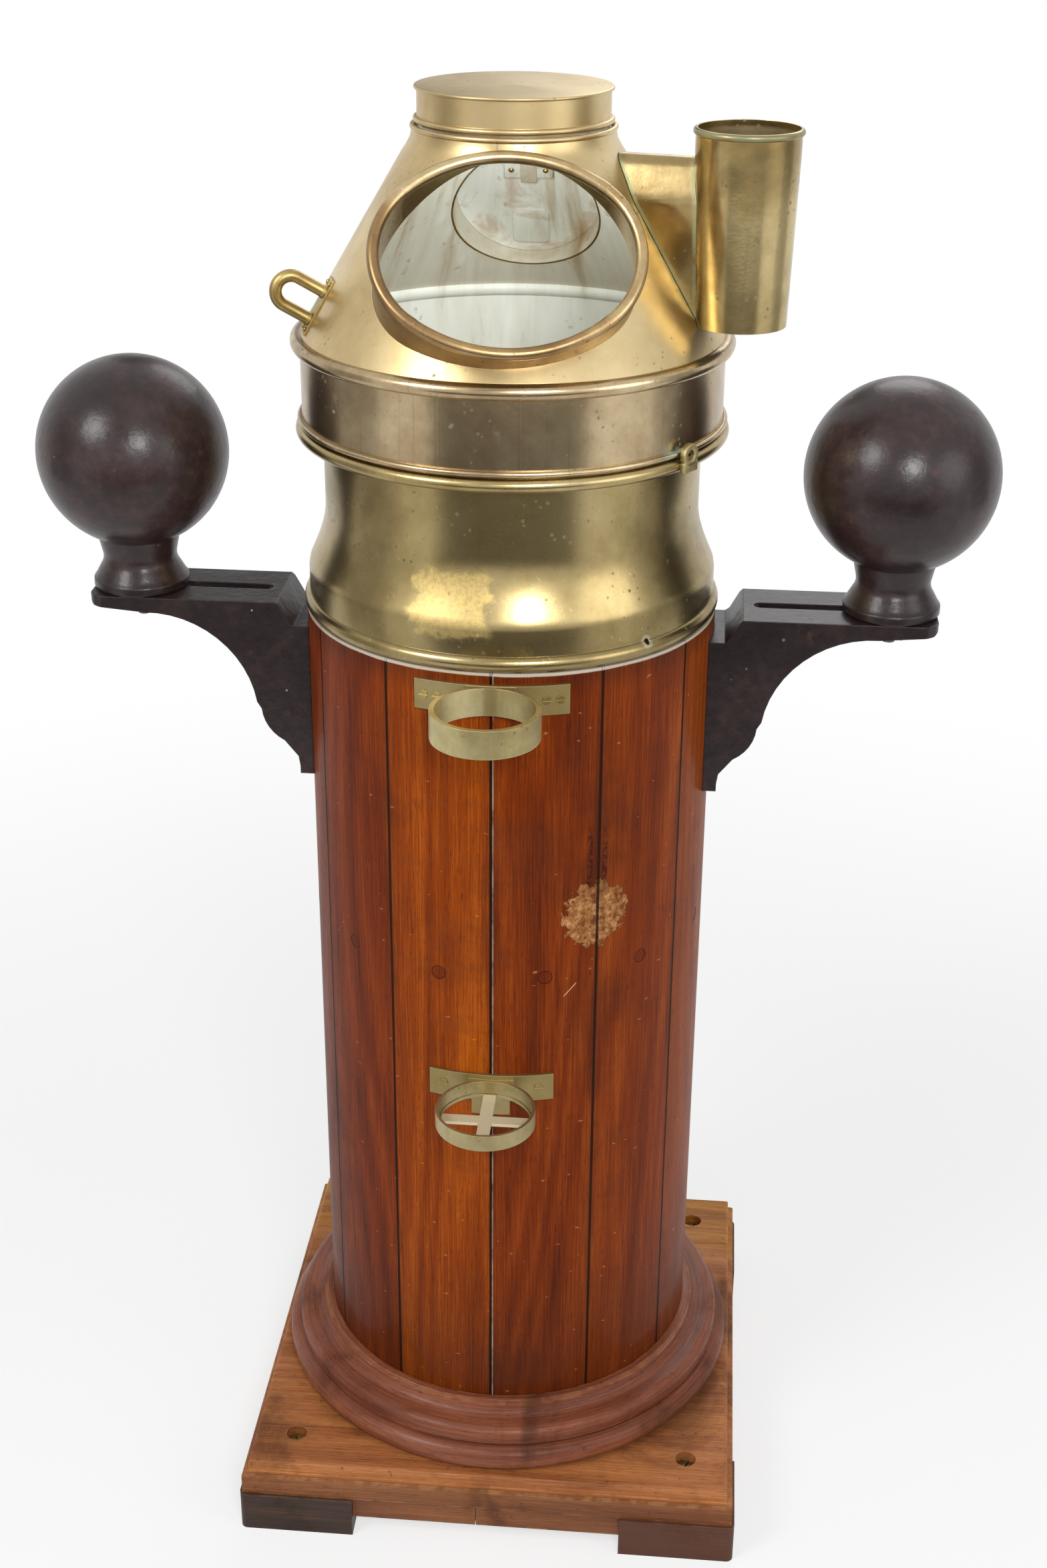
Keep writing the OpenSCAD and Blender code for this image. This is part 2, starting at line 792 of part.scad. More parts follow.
module upper_bar_bracket() {
    z0 = upper_plate_z - upper_ring_h / 2;
    z1 = z0 + upper_ring_h;
    color("tan") difference() {
        union() {
            bar_plate(upper_plate_z, upper_plate_half, bar_plate_h);
            translate([0, bar_y, 0]) rod_z(bar_bore_r + upper_ring_t, z0, z1);
            translate([-bar_web_half, -drum_r - bar_plate_t - upper_web_out, z0])
                cube([2 * bar_web_half, upper_web_out + bar_web_root, upper_ring_h]);
        }
        translate([0, bar_y, 0]) rod_z(bar_bore_r, z0 - cut, z1 + cut);
        rod_z(drum_r, z0 - 2 * cut, z1 + 2 * cut);
    }
}

module lower_bar_bracket() {
    z0 = lower_plate_z - lower_ring_h / 2 + lower_ring_up;
    z1 = z0 + lower_ring_h;
    ledge_z = z0 + cross_t;
    ring_r = bar_bore_r + lower_ring_t;
    color("tan") difference() {
        union() {
            bar_plate(lower_plate_z, lower_plate_half, bar_plate_h);
            arc_block(0, 2 * asin(lower_lug_half / drum_r), drum_r - cut,
                      drum_r + bar_plate_t - lower_lug_set,
                      lower_plate_z - bar_plate_h / 2 - lower_lug_h, lower_plate_z - bar_plate_h / 4);
            difference() {
                union() {
                    translate([0, bar_y, 0]) rod_z(ring_r, z0, z1);
                    translate([-bar_web_half, -drum_r - bar_plate_t - lower_web_out, z0])
                        cube([2 * bar_web_half, lower_web_out + bar_web_root, lower_ring_h]);
                }
                translate([0, bar_y, 0]) {
                    rod_z(bar_bore_r - bar_ledge, z0 - cut, z1);
                    rod_z(bar_bore_r + bar_relief, ledge_z, ledge_z + bar_relief_h);
                    rod_z(bar_bore_r, ledge_z + bar_relief_h / 2, z1 + cut);
                }
            }
            translate([0, bar_y, z0]) intersection() {
                cylinder(h = cross_t, r = ring_r - cross_set);
                union() {
                    translate([-cross_w / 2, -ring_r, 0]) cube([cross_w, 2 * ring_r, cross_t]);
                    translate([-ring_r, -cross_w / 2, 0]) cube([2 * ring_r, cross_w, cross_t]);
                }
            }
        }
        rod_z(drum_r, z0 - bar_plate_h - lower_lug_h, z1 + bar_plate_h);
    }
}

// Side view of a bracket, X outwards and Y up
module arm_profile() {
    polygon(concat(
        [[drum_r - arm_back_t, shoulder_z], [shoulder_x, shoulder_z], [shoulder_x + 4, shoulder_z + 3],
         [arm_flat_x - 3, arm_top - 3], [arm_flat_x, arm_top], [arm_reach, arm_top],
         [arm_reach, arm_top - arm_lip_t], [arm_reach - 4, arm_top - arm_nose_t + 1],
         [arm_reach - 12, arm_top - arm_nose_t]],
        arc_points(cove_cx, cove_cz, cove_r, 88, 172, 12),
        arc_points(swell_cx, swell_cz, swell_r, -4, -62, 6),
        [[toe_x, arm_bottom + 18], [toe_x - 1.5, arm_bottom + 8], [toe_x - 1.5, arm_bottom],
         [drum_r - arm_back_t, arm_bottom]]));
}

module coach_places() {
    for (side = [90, -90]) at(side)
        for (z = [arm_bottom + coach_low, shoulder_z - coach_high]) for (x = both_signs(coach_y))
            translate([x, 0, z]) children();
}

// A bracket built towards +X
module sphere_bracket() {
    half = arm_w / 2;
    difference() {
        translate([0, half, 0]) rotate([90, 0, 0]) linear_extrude(arm_w) arm_profile();
        translate([drum_r + arm_back_t, -half + cheek_t, arm_bottom - cut])
            cube([arm_reach, arm_w - 2 * cheek_t, shoulder_z - arm_top_t - arm_bottom + cut]);
        translate([arm_flat_x, -half + cheek_t, arm_bottom - cut])
            cube([arm_reach, arm_w - 2 * cheek_t, arm_h - arm_top_t + cut]);
        translate([slot_x0 + slot_w / 2, 0, arm_top - 2 * arm_top_t]) linear_extrude(3 * arm_top_t) union() {
            circle(slot_w / 2);
            translate([0, -slot_w / 2]) square([slot_x1 - slot_x0 - slot_w, slot_w]);
            translate([slot_x1 - slot_x0 - slot_w, 0]) circle(slot_w / 2);
        }
        for (s = [0, 1]) mirror([0, s, 0])
            translate([arm_reach - arm_end_r, half - arm_end_r, arm_top - 2 * arm_top_t])
                linear_extrude(3 * arm_top_t) difference() {
                    square(2 * arm_end_r);
                    circle(arm_end_r);
                }
        rod_z(drum_r, arm_bottom - cut, arm_top + cut);
        coach_places() rod_out(coach_r, drum_r - cut, drum_r + arm_back_t + cut);
    }
}

module sphere_brackets() {
    color("#40302e") for (side = [0, 1]) mirror([side, 0, 0]) sphere_bracket();
}

module sphere_bracket_screws() {
    head = drum_r + arm_back_t;
    color("gray") coach_places() {
        rod_out(coach_r, drum_r - coach_len, head);
        translate([0, -head, 0]) rotate([90, 0, 0]) cylinder(h = coach_head_t, r = coach_head_r, $fn = 4);
    }
}

// Sphere, neck and foot in one casting, standing on Z = 0
module sphere_casting() {
    flank_z = sphere_foot_t - 2;
    join_r = neck_r + 4;
    join_z = sphere_lift - sqrt(sphere_r * sphere_r - join_r * join_r);
    rotate_extrude() union() {
        difference() {
            translate([0, sphere_lift]) circle(sphere_r);
            translate([-2 * sphere_r, 0]) square([2 * sphere_r, 3 * sphere_r]);
        }
        polygon(concat(
            [[0, 0], [sphere_foot_r - 1, 0], [sphere_foot_r, 1.5], [sphere_foot_r, flank_z]],
            arc_points(sphere_foot_r - 3, flank_z, 3, 0, 60, 3),
            arc_points(neck_r + sphere_cove_r, sphere_foot_t + sphere_cove_r + 4, sphere_cove_r, 215, 165, 7),
            [[join_r, join_z], [0, join_z + 10]]));
    }
}

module sphere_left() {
    color("#3c2c2c") translate([-sphere_x, 0, arm_top + slide_gap / 2]) sphere_casting();
}

module sphere_right() {
    color("#3c2c2c") translate([sphere_x, 0, arm_top + slide_gap / 2]) sphere_casting();
}

// Stud, washer and square nut that clamp a sphere to its slot
module sphere_stud(x) {
    under = arm_top - arm_top_t - slide_gap;
    color("gray") translate([x, 0, 0]) {
        rod_z(stud_r, under - nut_h - stud_end, arm_top + slide_gap / 2);
        rod_z(nut_r + washer_lap, under - washer_t, under);
        translate([-nut_r, -nut_r, under - washer_t - nut_h])
            cube([2 * nut_r, 2 * nut_r, nut_h + washer_t / 2]);
    }
}

// Sheet profile of the collar, outside line upwards and inside line back
function flare_r(t) = waist_r + (band_r - 1 - waist_r) * (1 - sin(90 * t));

module collar_section() {
    z_crease = drum_top + band_h;
    z_waist = drum_top + flare_h;
    outer = concat([[band_r, drum_top + 2], [band_r, z_crease - crease_h], [band_r - 1, z_crease]],
                   [for (i = [1 : 12]) [flare_r(i / 12), z_crease + (z_waist - z_crease) * i / 12]],
                   [[waist_r, rim_z - 4], [waist_r + 5, rim_z]]);
    polygon(concat(outer, [for (i = [len(outer) - 1 : -1 : 0]) [outer[i][0] - sheet_t, outer[i][1]]]));
}

module collar() {
    bead_x = band_r + 5 - collar_bead_r;
    seat_in = stave_in_r + collar_seat;
    color("darkgoldenrod") difference() {
        rotate_extrude() union() {
            collar_section();
            difference() {
                translate([bead_x, drum_top + collar_bead_r]) circle(collar_bead_r);
                translate([0, drum_top]) square([band_r - sheet_t, 3 * collar_bead_r]);
            }
            translate([seat_in, drum_top]) square([band_r - seat_in, sheet_t]);
            translate([waist_r, rim_z - sheet_t / 2]) square([rim_r - rim_bead_r - waist_r, sheet_t]);
            translate([rim_r - rim_bead_r, rim_z]) circle(rim_bead_r);
            translate([upstand_r - sheet_t, rim_z]) square([sheet_t, collar_top + upstand_h - rim_z]);
        }
        at(vent_az) translate([0, 0, drum_top + vent_up]) rod_out(vent_r, band_r - 4 * sheet_t, band_r + 10);
    }
}

// Padlock tab that stands on the collar's rim beside the skirt
module lock_lug() {
    z0 = rim_z - rim_bead_r;
    color("darkkhaki") difference() {
        arc_block(lug_az, 2 * asin(lug_w / 2 / rim_r), rim_r - lug_bite, rim_r + lug_t, z0, z0 + lug_h);
        rotate_extrude() translate([rim_r - rim_bead_r, rim_z]) circle(rim_bead_r);
        at(lug_az) translate([0, 0, z0 + lug_h - lug_hole_down])
            rod_out(lug_hole_r, rim_r - 3, rim_r + 2 * lug_t);
    }
}

module skirt_section() {
    translate([skirt_r - sheet_t, collar_top + slide_gap]) square([sheet_t, skirt_h - slide_gap]);
    difference() {
        translate([skirt_r + lip_bead_r - 1, lip_z]) circle(lip_bead_r);
        translate([0, collar_top]) square([skirt_r - sheet_t / 2, skirt_h]);
    }
    translate([hood_bead_x, hood_z]) circle(hood_bead_r);
}

module hood_skirt() {
    color("#8a7446") rotate_extrude() skirt_section();
}

// Solid of the cone out to a distance past its outer face, for trimming
module cone_solid(extra) {
    rise = 60;
    rotate_extrude() polygon([
        [0, hood_z - rise], [cone_foot_r + extra + rise * cone_slope, hood_z - rise],
        [cone_top_r + extra, cone_top], [hood_neck_r + 3 + extra, cone_top + neck_h * 0.45],
        [hood_neck_r + extra, neck_top], [0, neck_top]]);
}

module cone_section() {
    low_r = cone_top_r - 3.6;
    low_z = cone_top + neck_h * 0.26;
    high_r = hood_neck_r + 1.6;
    high_z = cone_top + neck_h * 0.6;
    outer = [[cone_foot_r, hood_z], [cone_top_r, cone_top], [low_r, low_z], [high_r, high_z],
             [hood_neck_r, neck_top], [spigot_r, neck_top + 1], [spigot_r, spigot_top]];
    inner = [[spigot_r - sheet_t, spigot_top], [spigot_r - sheet_t, neck_top - 2],
             [high_r - sheet_t, high_z - 2], [low_r - sheet_t, low_z - 2],
             [cone_top_r - sheet_t, cone_top - 1], [cone_foot_r - sheet_t - 0.3, hood_z]];
    difference() {
        union() {
            polygon(concat(outer, inner));
            translate([hood_neck_r - 0.5, bead_z - 1]) circle(neck_bead_r);
        }
        translate([hood_bead_x, hood_z]) circle(hood_bead_r);
        translate([skirt_r - sheet_t, 0]) square([sheet_t, hood_z]);
    }
}

module hood_cone() {
    color("#cdb678") difference() {
        rotate_extrude() cone_section();
        in_window() window_prism(0);
        in_window() translate([0, 0, -window_rim_r - slide_gap])
            linear_extrude(window_depth) window_oval(slide_gap);
        in_port() rod_out(port_ring_r, -40, 60);
        in_duct_mouth();
    }
}

// Local frame of the window: X to starboard, Y up the frame, Z out
module in_window() {
    at(window_az) translate([0, -window_out, window_z]) rotate([0, 0, window_turn])
        rotate([90 - window_tilt, 0, 0]) children();
}

module window_oval(out) {
    intersection() {
        translate([0, -oval_side_c]) circle(oval_side_r + out, $fn = 128);
        translate([0, oval_side_c]) circle(oval_side_r + out, $fn = 128);
        translate([-oval_join_x, -window_a]) square([2 * oval_join_x, 2 * window_a]);
    }
    for (s = [-1, 1]) translate([s * oval_end_c, 0]) circle(oval_end_r + out, $fn = 128);
}

// The window's opening as a prism, grown or shrunk all round
module window_prism(grow) {
    wall = -window_rim_r + sheet_t / 2;
    translate([0, 0, -window_depth]) linear_extrude(window_depth) window_oval(wall + grow);
}

// A length of the window's round rim, bent to a radius
module rim_arc(radius, sweep) {
    rotate_extrude(angle = sweep) translate([radius, 0]) circle(window_rim_r);
}

// The rim is bent along the window's oval, in four lengths joined by sleeves
module window_rim() {
    end_half = 90 - oval_side_half - rim_trim;
    side_half = oval_side_half - rim_trim;
    for (s = [0, 180]) rotate([0, 0, s]) {
        translate([oval_end_c, 0, 0]) rotate([0, 0, -end_half])
            rim_arc(oval_end_r - window_rim_r, 2 * end_half);
        translate([0, -oval_side_c, 0]) rotate([0, 0, 90 - side_half])
            rim_arc(oval_side_r - window_rim_r, 2 * side_half);
        for (e = [-1, 1]) translate([oval_end_c, 0, 0]) rotate([0, 0, e * (90 - oval_side_half)])
            translate([oval_end_r - window_rim_r, rim_sleeve / 2, 0]) rotate([90, 0, 0])
                cylinder(h = rim_sleeve, r = window_rim_r + rim_sleeve_t);
    }
}

module window_frame() {
    color("#b07a44") union() {
        difference() {
            in_window() window_prism(0);
            in_window() translate([0, 0, cut]) window_prism(-sheet_t);
            in_window() translate([0, 0, -cut]) window_prism(-sheet_t);
            cone_solid(-sheet_t - flange_lap);
        }
        in_window() window_rim();
    }
}

// Local frame of the rear port: Y inwards along its axis, Z up the slope
module in_port() {
    at(180) translate([0, -(cone_foot_r - port_up * cone_slope), port_z]) rotate([-cone_lean, 0, 0])
        children();
}

module port_ring() {
    ear_x = port_knuckle / 2 + slide_gap;
    ear_root = port_ring_r - 4;
    color("#c9ae6e") difference() {
        in_port() rod_out(port_ring_r, -60, port_proud);
        in_port() rod_out(port_r, -80, port_proud + cut);
        cone_solid(-sheet_t - flange_lap);
    }
    color("#c9ae6e") in_port() {
        for (s = [0, 1]) mirror([s, 0, 0]) difference() {
            union() {
                translate([ear_x, -port_axis_out, port_hinge_up]) rotate([0, 90, 0])
                    cylinder(h = port_ear_t, r = port_barrel_r);
                translate([ear_x, -port_axis_out - port_barrel_r, ear_root])
                    cube([port_ear_t, 2 * port_barrel_r, port_hinge_up - ear_root]);
            }
            translate([0, -port_axis_out, port_hinge_up]) rotate([0, 90, 0])
                cylinder(h = port_r, r = port_pin_r + pin_clear);
            rod_out(port_ring_r - port_wall / 2, -20, 20);
        }
        translate([-port_plate_w / 2, -port_proud + 2, port_r - port_plate_h - cut / 2])
            cube([port_plate_w, port_plate_t, port_plate_h]);
    }
}

module port_lid() {
    end = port_proud + slide_gap;
    pin_half = port_knuckle / 2 + slide_gap + port_ear_t;
    color("#c9ae6e") in_port() {
        rod_out(port_lid_r, end, end + sheet_t);
        difference() {
            rod_out(port_lid_r, end - port_lip, end + 0.1);
            rod_out(port_ring_r + port_play, end - port_lip - cut, end + cut);
        }
        translate([0, -port_axis_out, port_hinge_up]) rotate([0, 90, 0]) {
            translate([0, 0, -port_knuckle / 2]) cylinder(h = port_knuckle, r = port_barrel_r);
            translate([0, 0, -pin_half]) cylinder(h = 2 * pin_half, r = port_pin_r);
        }
        translate([-port_knuckle / 2, -end - sheet_t, port_lid_r - 1.5])
            cube([port_knuckle, end + sheet_t - port_axis_out, port_tongue_t]);
    }
}

module hood_handle() {
    half = handle_span / 2;
    color("#a88448") difference() {
        in_handle() union() {
            for (z = both_signs(half)) translate([0, 0, z]) {
                rod_out(handle_bar_r, -12, handle_leg);
                translate([0, 4, 0]) rotate([90, 0, 0])
                    cylinder(h = 9, r1 = handle_bar_r + 3, r2 = handle_bar_r);
            }
            translate([0, -handle_leg, 0]) rotate([0, 90, 0]) rotate([0, 0, 180])
                rotate_extrude(angle = 180) translate([half, 0]) circle(handle_bar_r);
        }
        cone_solid(handle_plate_t + plate_lift);
    }
}

// Local frame of the handle: Y inwards square to the cone, Z up the slope
module in_handle() {
    at(handle_az) translate([0, -(cone_foot_r - handle_up * cone_slope), handle_z]) rotate([-cone_lean, 0, 0])
        children();
}

module handle_plate() {
    w = handle_plate_w;
    l = handle_plate_len;
    color("#9c8a58") difference() {
        in_handle() translate([-w / 2, -12, -l / 2]) cube([w, 24, l]);
        difference() {
            rod_z(2 * skirt_r, hood_z - handle_plate_len, cone_top + handle_plate_len);
            cone_solid(handle_plate_t + plate_lift);
        }
        cone_solid(0);
        rotate_extrude() translate([hood_bead_x, hood_z]) circle(hood_bead_r + slide_gap);
    }
}

// Local frame of the lamp: its tube's axis stands at the front
module in_lamp() {
    at(lamp_az) children();
}

module lamp_body(shrink) {
    straight_z = lamp_z1 - lamp_mouth_h;
    translate([0, -lamp_out, 0]) {
        translate([0, 0, lamp_z0])
            cylinder(h = lamp_h - lamp_mouth_h, r1 = lamp_foot_r - shrink, r2 = lamp_top_r - shrink);
        translate([0, 0, straight_z]) cylinder(h = lamp_mouth_h, r = lamp_top_r - shrink);
    }
}

// Cross-section of the duct, drawn in by a wall, X across and Y up
module duct_arch(shrink) {
    ridge = lamp_z0 + duct_up;
    flank = lamp_z0 + duct_flank;
    shoulder = ridge - duct_top_r;
    w = duct_half - shrink;
    t = duct_top_r - shrink;
    polygon(concat([[-w, lamp_z0 + 1], [w, lamp_z0 + 1], [w, flank], [w - 2, flank + duct_hip]],
                   arc_points(0, shoulder, t, 25, 155, 12), [[-w + 2, flank + duct_hip], [-w, flank]]));
}

module duct_prism(shrink, y0, y1) {
    translate([0, -y0, 0]) rotate([90, 0, 0]) linear_extrude(y1 - y0) duct_arch(shrink);
}

// Light passage from the duct into the hood and the tube
module duct_passage(y0, y1) {
    in_lamp() intersection() {
        duct_prism(duct_wall + duct_lip, y0, y1);
        translate([-duct_half, -y1, duct_mouth_z]) cube([2 * duct_half, y1 - y0, 2 * lamp_h]);
    }
}

module in_duct_mouth() {
    duct_passage(40, lamp_out);
}

module lamp_tube() {
    color("#a08a52") difference() {
        in_lamp() difference() {
            union() {
                lamp_body(0);
                translate([0, -lamp_out, lamp_z1]) rotate_extrude()
                    translate([lamp_top_r - lamp_wall / 2, 0]) circle(lamp_rim_r);
            }
            translate([0, 0, sheet_t]) lamp_body(lamp_wall);
            translate([0, -lamp_out, lamp_z1 - lamp_mouth_h])
                cylinder(h = 2 * lamp_mouth_h, r = lamp_top_r - lamp_wall);
        }
        cone_solid(solder_gap);
        duct_passage(lamp_out - 60, lamp_out);
    }
}

module lamp_duct() {
    color("#b39a58") difference() {
        in_lamp() difference() {
            duct_prism(0, 60, lamp_out);
            duct_prism(duct_wall, 59, lamp_out + cut);
            lamp_body(0);
        }
        cone_solid(solder_gap);
    }
}

module top_cap() {
    inner = spigot_r + cap_play;
    color("#d8c48a") rotate_extrude() union() {
        translate([inner, cap_z0]) square([cap_r - inner, cap_top - cap_z0 - cap_top_t]);
        translate([0, cap_top - cap_top_t]) square([cap_r, cap_top_t]);
        translate([cap_r - 0.5, cap_top - cap_top_t]) square([cap_lip, cap_top_t]);
        translate([cap_r + cap_lip - 0.5, cap_top - cap_top_t / 2]) circle(cap_top_t / 2);
        difference() {
            translate([cap_r + 1, cap_z0 + neck_bead_r]) circle(neck_bead_r);
            translate([0, cap_z0 - cut]) square([inner, 3 * cap_h]);
        }
    }
}

// Base ring on the drum's top with the two posts that carry the gimbal ring
module gimbal_posts() {
    foot_x = flange_in_r + 4;
    window_h = gimbal_z - drum_top - 2 * post_window_in;
    color("goldenrod") difference() {
        union() {
            ring(flange_in_r, stave_in_r + collar_seat - slide_gap, drum_top, drum_top + sheet_t);
            for (s = [0, 180]) rotate([0, 0, s]) {
                translate([post_x, -post_w / 2, drum_top + cut])
                    cube([post_t, post_w, gimbal_z - drum_top - cut]);
                translate([post_x, 0, gimbal_z]) rotate([0, 90, 0]) cylinder(h = post_t, r = post_w / 2);
                translate([foot_x, -post_w / 2 - post_foot_lap, drum_top + cut])
                    cube([post_foot_end - foot_x, post_w + 2 * post_foot_lap, post_foot_h]);
            }
        }
        translate([-trunnion_end - cut, 0, gimbal_z]) rotate([0, 90, 0])
            cylinder(h = 2 * (trunnion_end + cut), r = trunnion_r + pin_clear);
        translate([-trunnion_end - cut, -post_w / 4, drum_top + post_window_in])
            cube([2 * (trunnion_end + cut), post_w / 2, window_h]);
    }
}

module gimbal_ring() {
    color("goldenrod") difference() {
        union() {
            ring(gimbal_r, gimbal_r + gimbal_t, gimbal_z - gimbal_h / 2, gimbal_z + gimbal_h / 2);
            for (s = [0, 180]) rotate([0, 0, s])
                translate([gimbal_r + gimbal_t / 2, 0, gimbal_z]) rotate([0, 90, 0])
                    cylinder(h = trunnion_end - gimbal_r - gimbal_t / 2, r = trunnion_r);
        }
        translate([0, 0, gimbal_z])
            rod_out(bowl_pin_r + pin_clear, -gimbal_r - 2 * gimbal_t, gimbal_r + 2 * gimbal_t);
    }
}

function bowl_outline(r, deep) = concat([[r, bowl_top]], bowl_curve(r, deep - bowl_straight, 14));
function bowl_curve(r, d, n) =
    [for (i = [0 : n - 1]) [r * cos(90 * i / n), -bowl_straight - d * sin(90 * i / n)]];

module compass_bowl() {
    color("#8a6a30") translate([0, 0, gimbal_z]) {
        rotate_extrude() difference() {
            union() {
                polygon(concat([[0, bowl_top]], bowl_outline(bowl_r, bowl_deep), [[0, -bowl_deep]]));
                translate([0, -bowl_deep - weight_t]) square([weight_r, weight_t + 8]);
            }
            polygon(concat([[0, bowl_top + cut], [bowl_r - bowl_t, bowl_top + cut]],
                           bowl_outline(bowl_r - bowl_t, bowl_deep - bowl_t), [[0, -bowl_deep + bowl_t]]));
        }
        for (s = [0, 180]) rotate([0, 0, s]) rod_out(bowl_pin_r, bowl_r - 1, gimbal_r + gimbal_t - 1);
    }
}

module bowl_bezel() {
    color("gold") translate([0, 0, gimbal_z + bowl_top]) rotate_extrude() union() {
        translate([glass_r - bezel_lap, glass_t]) square([bezel_r - glass_r + bezel_lap, bezel_h - glass_t]);
        translate([glass_r + slide_gap, 0]) square([bezel_r - glass_r - slide_gap, bezel_h]);
    }
}

module compass_glass() {
    color("lightblue", 0.4) rod_z(glass_r, gimbal_z + bowl_top, gimbal_z + bowl_top + glass_t);
}

module compass_card() {
    z = gimbal_z + card_up;
    color("ivory") difference() {
        union() {
            rod_z(card_r, z, z + card_t);
            rod_z(card_hub_r, z, z + card_hub_h);
        }
        rod_z(pivot_r + pin_clear, z - cut, z + card_hub_bore);
    }
}

module card_pivot() {
    z0 = gimbal_z - bowl_deep + bowl_t + pivot_lift;
    stem_z = gimbal_z - card_hub_r;
    color("goldenrod") {
        rod_z(pivot_foot_r, z0, z0 + pivot_foot_h);
        rod_z(pivot_stem_r, z0 + pivot_foot_h - cut, stem_z);
        rod_z(pivot_r, stem_z - cut, gimbal_z + card_up + card_hub_bore - slide_gap);
    }
}

module rack_shelf() {
    color("burlywood") difference() {
        rod_z(stave_in_r - slide_gap, mid_former_z, shelf_z1);
        for (a = [0 : 3]) at(45 + 90 * a) translate([0, -stave_in_r + shelf_hole_in, 0])
            rod_z(shelf_hole_r, mid_former_z - cut, shelf_z1 + cut);
    }
}

module magnet_holes() {
    for (k = rack_rows) for (s = both_signs(magnet_off)) {
        translate([-rack_half - cut, s, shelf_z1 + k * magnet_pitch]) rotate([0, 90, 0])
            cylinder(h = 2 * (rack_half + cut), r = magnet_r + magnet_play);
        translate([s, -rack_half - cut, shelf_z1 + k * magnet_pitch + magnet_pitch / 2]) rotate([-90, 0, 0])
            cylinder(h = 2 * (rack_half + cut), r = magnet_r + magnet_play);
    }
}

module magnet_rack() {
    inner = rack_half - rack_t;
    color("burlywood") difference() {
        union() {
            for (x = [-rack_half, inner]) translate([x, -inner + rack_gap, shelf_z1])
                cube([rack_t, 2 * (inner - rack_gap), rack_h]);
            for (y = [-rack_half, inner]) translate([-rack_half, y, shelf_z1])
                cube([2 * rack_half, rack_t, rack_h]);
        }
        magnet_holes();
        translate([-hand_hole_w / 2, 0, shelf_z1 + (rack_h - hand_hole_h) / 2])
            cube([hand_hole_w, rack_half + cut, hand_hole_h]);
    }
}

module corrector_magnets() {
    z = shelf_z1 + athwart_row * magnet_pitch;
    color("steelblue") for (s = both_signs(magnet_off)) {
        translate([-magnet_len / 2, s, z]) rotate([0, 90, 0]) cylinder(h = magnet_len, r = magnet_r);
        translate([s, -magnet_len / 2, z + magnet_pitch / 2]) rotate([-90, 0, 0])
            cylinder(h = magnet_len, r = magnet_r);
    }
}

module heeling_tube() {
    z1 = shelf_z1 + heel_h;
    color("goldenrod") difference() {
        union() {
            ring(heel_r - heel_wall, heel_r, shelf_z1, z1);
            ring(heel_r - rack_gap, heel_r + heel_flange, shelf_z1, shelf_z1 + heel_flange_t);
        }
        translate([-clamp_slot_w / 2, 0, shelf_z1 + heel_flange])
            cube([clamp_slot_w, heel_r + cut, heel_h - 2 * heel_flange]);
    }
}

// Cup for the heeling magnet, with the screw that clamps it in the slot
module heeling_bucket() {
    clamp_z = bucket_z + bucket_h / 2;
    color("darkgoldenrod") {
        difference() {
            rod_z(bucket_r, bucket_z, bucket_z + bucket_h);
            rod_z(heel_magnet_r + magnet_play, bucket_z + bucket_floor, bucket_z + bucket_h + cut);
        }
        translate([0, 0, clamp_z]) rod_out(clamp_r, -heel_r - clamp_out - slide_gap, -bucket_r + 5);
        translate([0, 0, clamp_z]) rod_out(clamp_nut_r, -heel_r - clamp_out, -heel_r - slide_gap);
    }
}

module heeling_magnet() {
    color("steelblue") rod_z(heel_magnet_r, bucket_z + bucket_floor, bucket_z + bucket_h + 4);
}

module rear_door() {
    w = stave_step - gap_angle / 2 - door_gap_angle;
    color("sienna") difference() {
        for (s = [-1, 1]) arc_block(door_az + s * (gap_angle + w) / 2, w, stave_in_r, drum_r,
                                    door_z0 + door_gap, door_z1 - door_gap);
        at(latch_az) translate([0, 0, door_mid])
            rod_out(spindle_r + pin_clear, stave_in_r - cut, drum_r + cut);
    }
}

module door_battens() {
    w = 2 * (stave_step - batten_inset);
    color("burlywood") for (z = [door_z0 + hinge_inset, door_z1 - hinge_inset - batten_h])
        arc_block(door_az, w, stave_in_r - batten_t, stave_in_r, z, z + batten_h);
}

function hinge_levels() = [door_z0 + hinge_inset, door_z1 - hinge_inset - hinge_h];

module barrel(z0, z1) {
    at(hinge_az) translate([0, -hinge_out, 0]) rod_z(barrel_r, z0, z1);
}

// Leaf of a hinge on one side of its barrel, side -1 fixed and +1 moving
module leaf(side, z0, z1) {
    w = leaf_w / drum_r * 180 / PI;
    arc_block(hinge_az + side * (w / 2 + leaf_gap_angle), w, drum_r, drum_r + leaf_t, z0, z1);
}

// Tongue that joins a leaf to its knuckle
module tongue(side, z0, z1) {
    arc_block(hinge_az + side * 1.3, 2.6, drum_r + 0.3, drum_r + leaf_t - 0.2, z0 + 0.3, z1 - 0.3);
}

module door_hinges() {
    third = hinge_h / 3;
    color("goldenrod") for (z = hinge_levels()) {
        leaf(-1, z, z + hinge_h);
        for (k = [0, 2]) {
            barrel(z + k * third, z + (k + 1) * third);
            tongue(-1, z + k * third, z + (k + 1) * third);
        }
        at(hinge_az) translate([0, -hinge_out, 0]) rod_z(hinge_pin_r, z - pin_end, z + hinge_h + pin_end);
    }
}

module door_leaves() {
    third = hinge_h / 3;
    color("gold") for (z = hinge_levels()) difference() {
        union() {
            leaf(1, z, z + hinge_h);
            barrel(z + third + slide_gap, z + 2 * third - slide_gap);
            tongue(1, z + third + slide_gap, z + 2 * third - slide_gap);
        }
        at(hinge_az) translate([0, -hinge_out, 0]) rod_z(hinge_pin_r + pin_clear, z - cut, z + hinge_h + cut);
    }
}

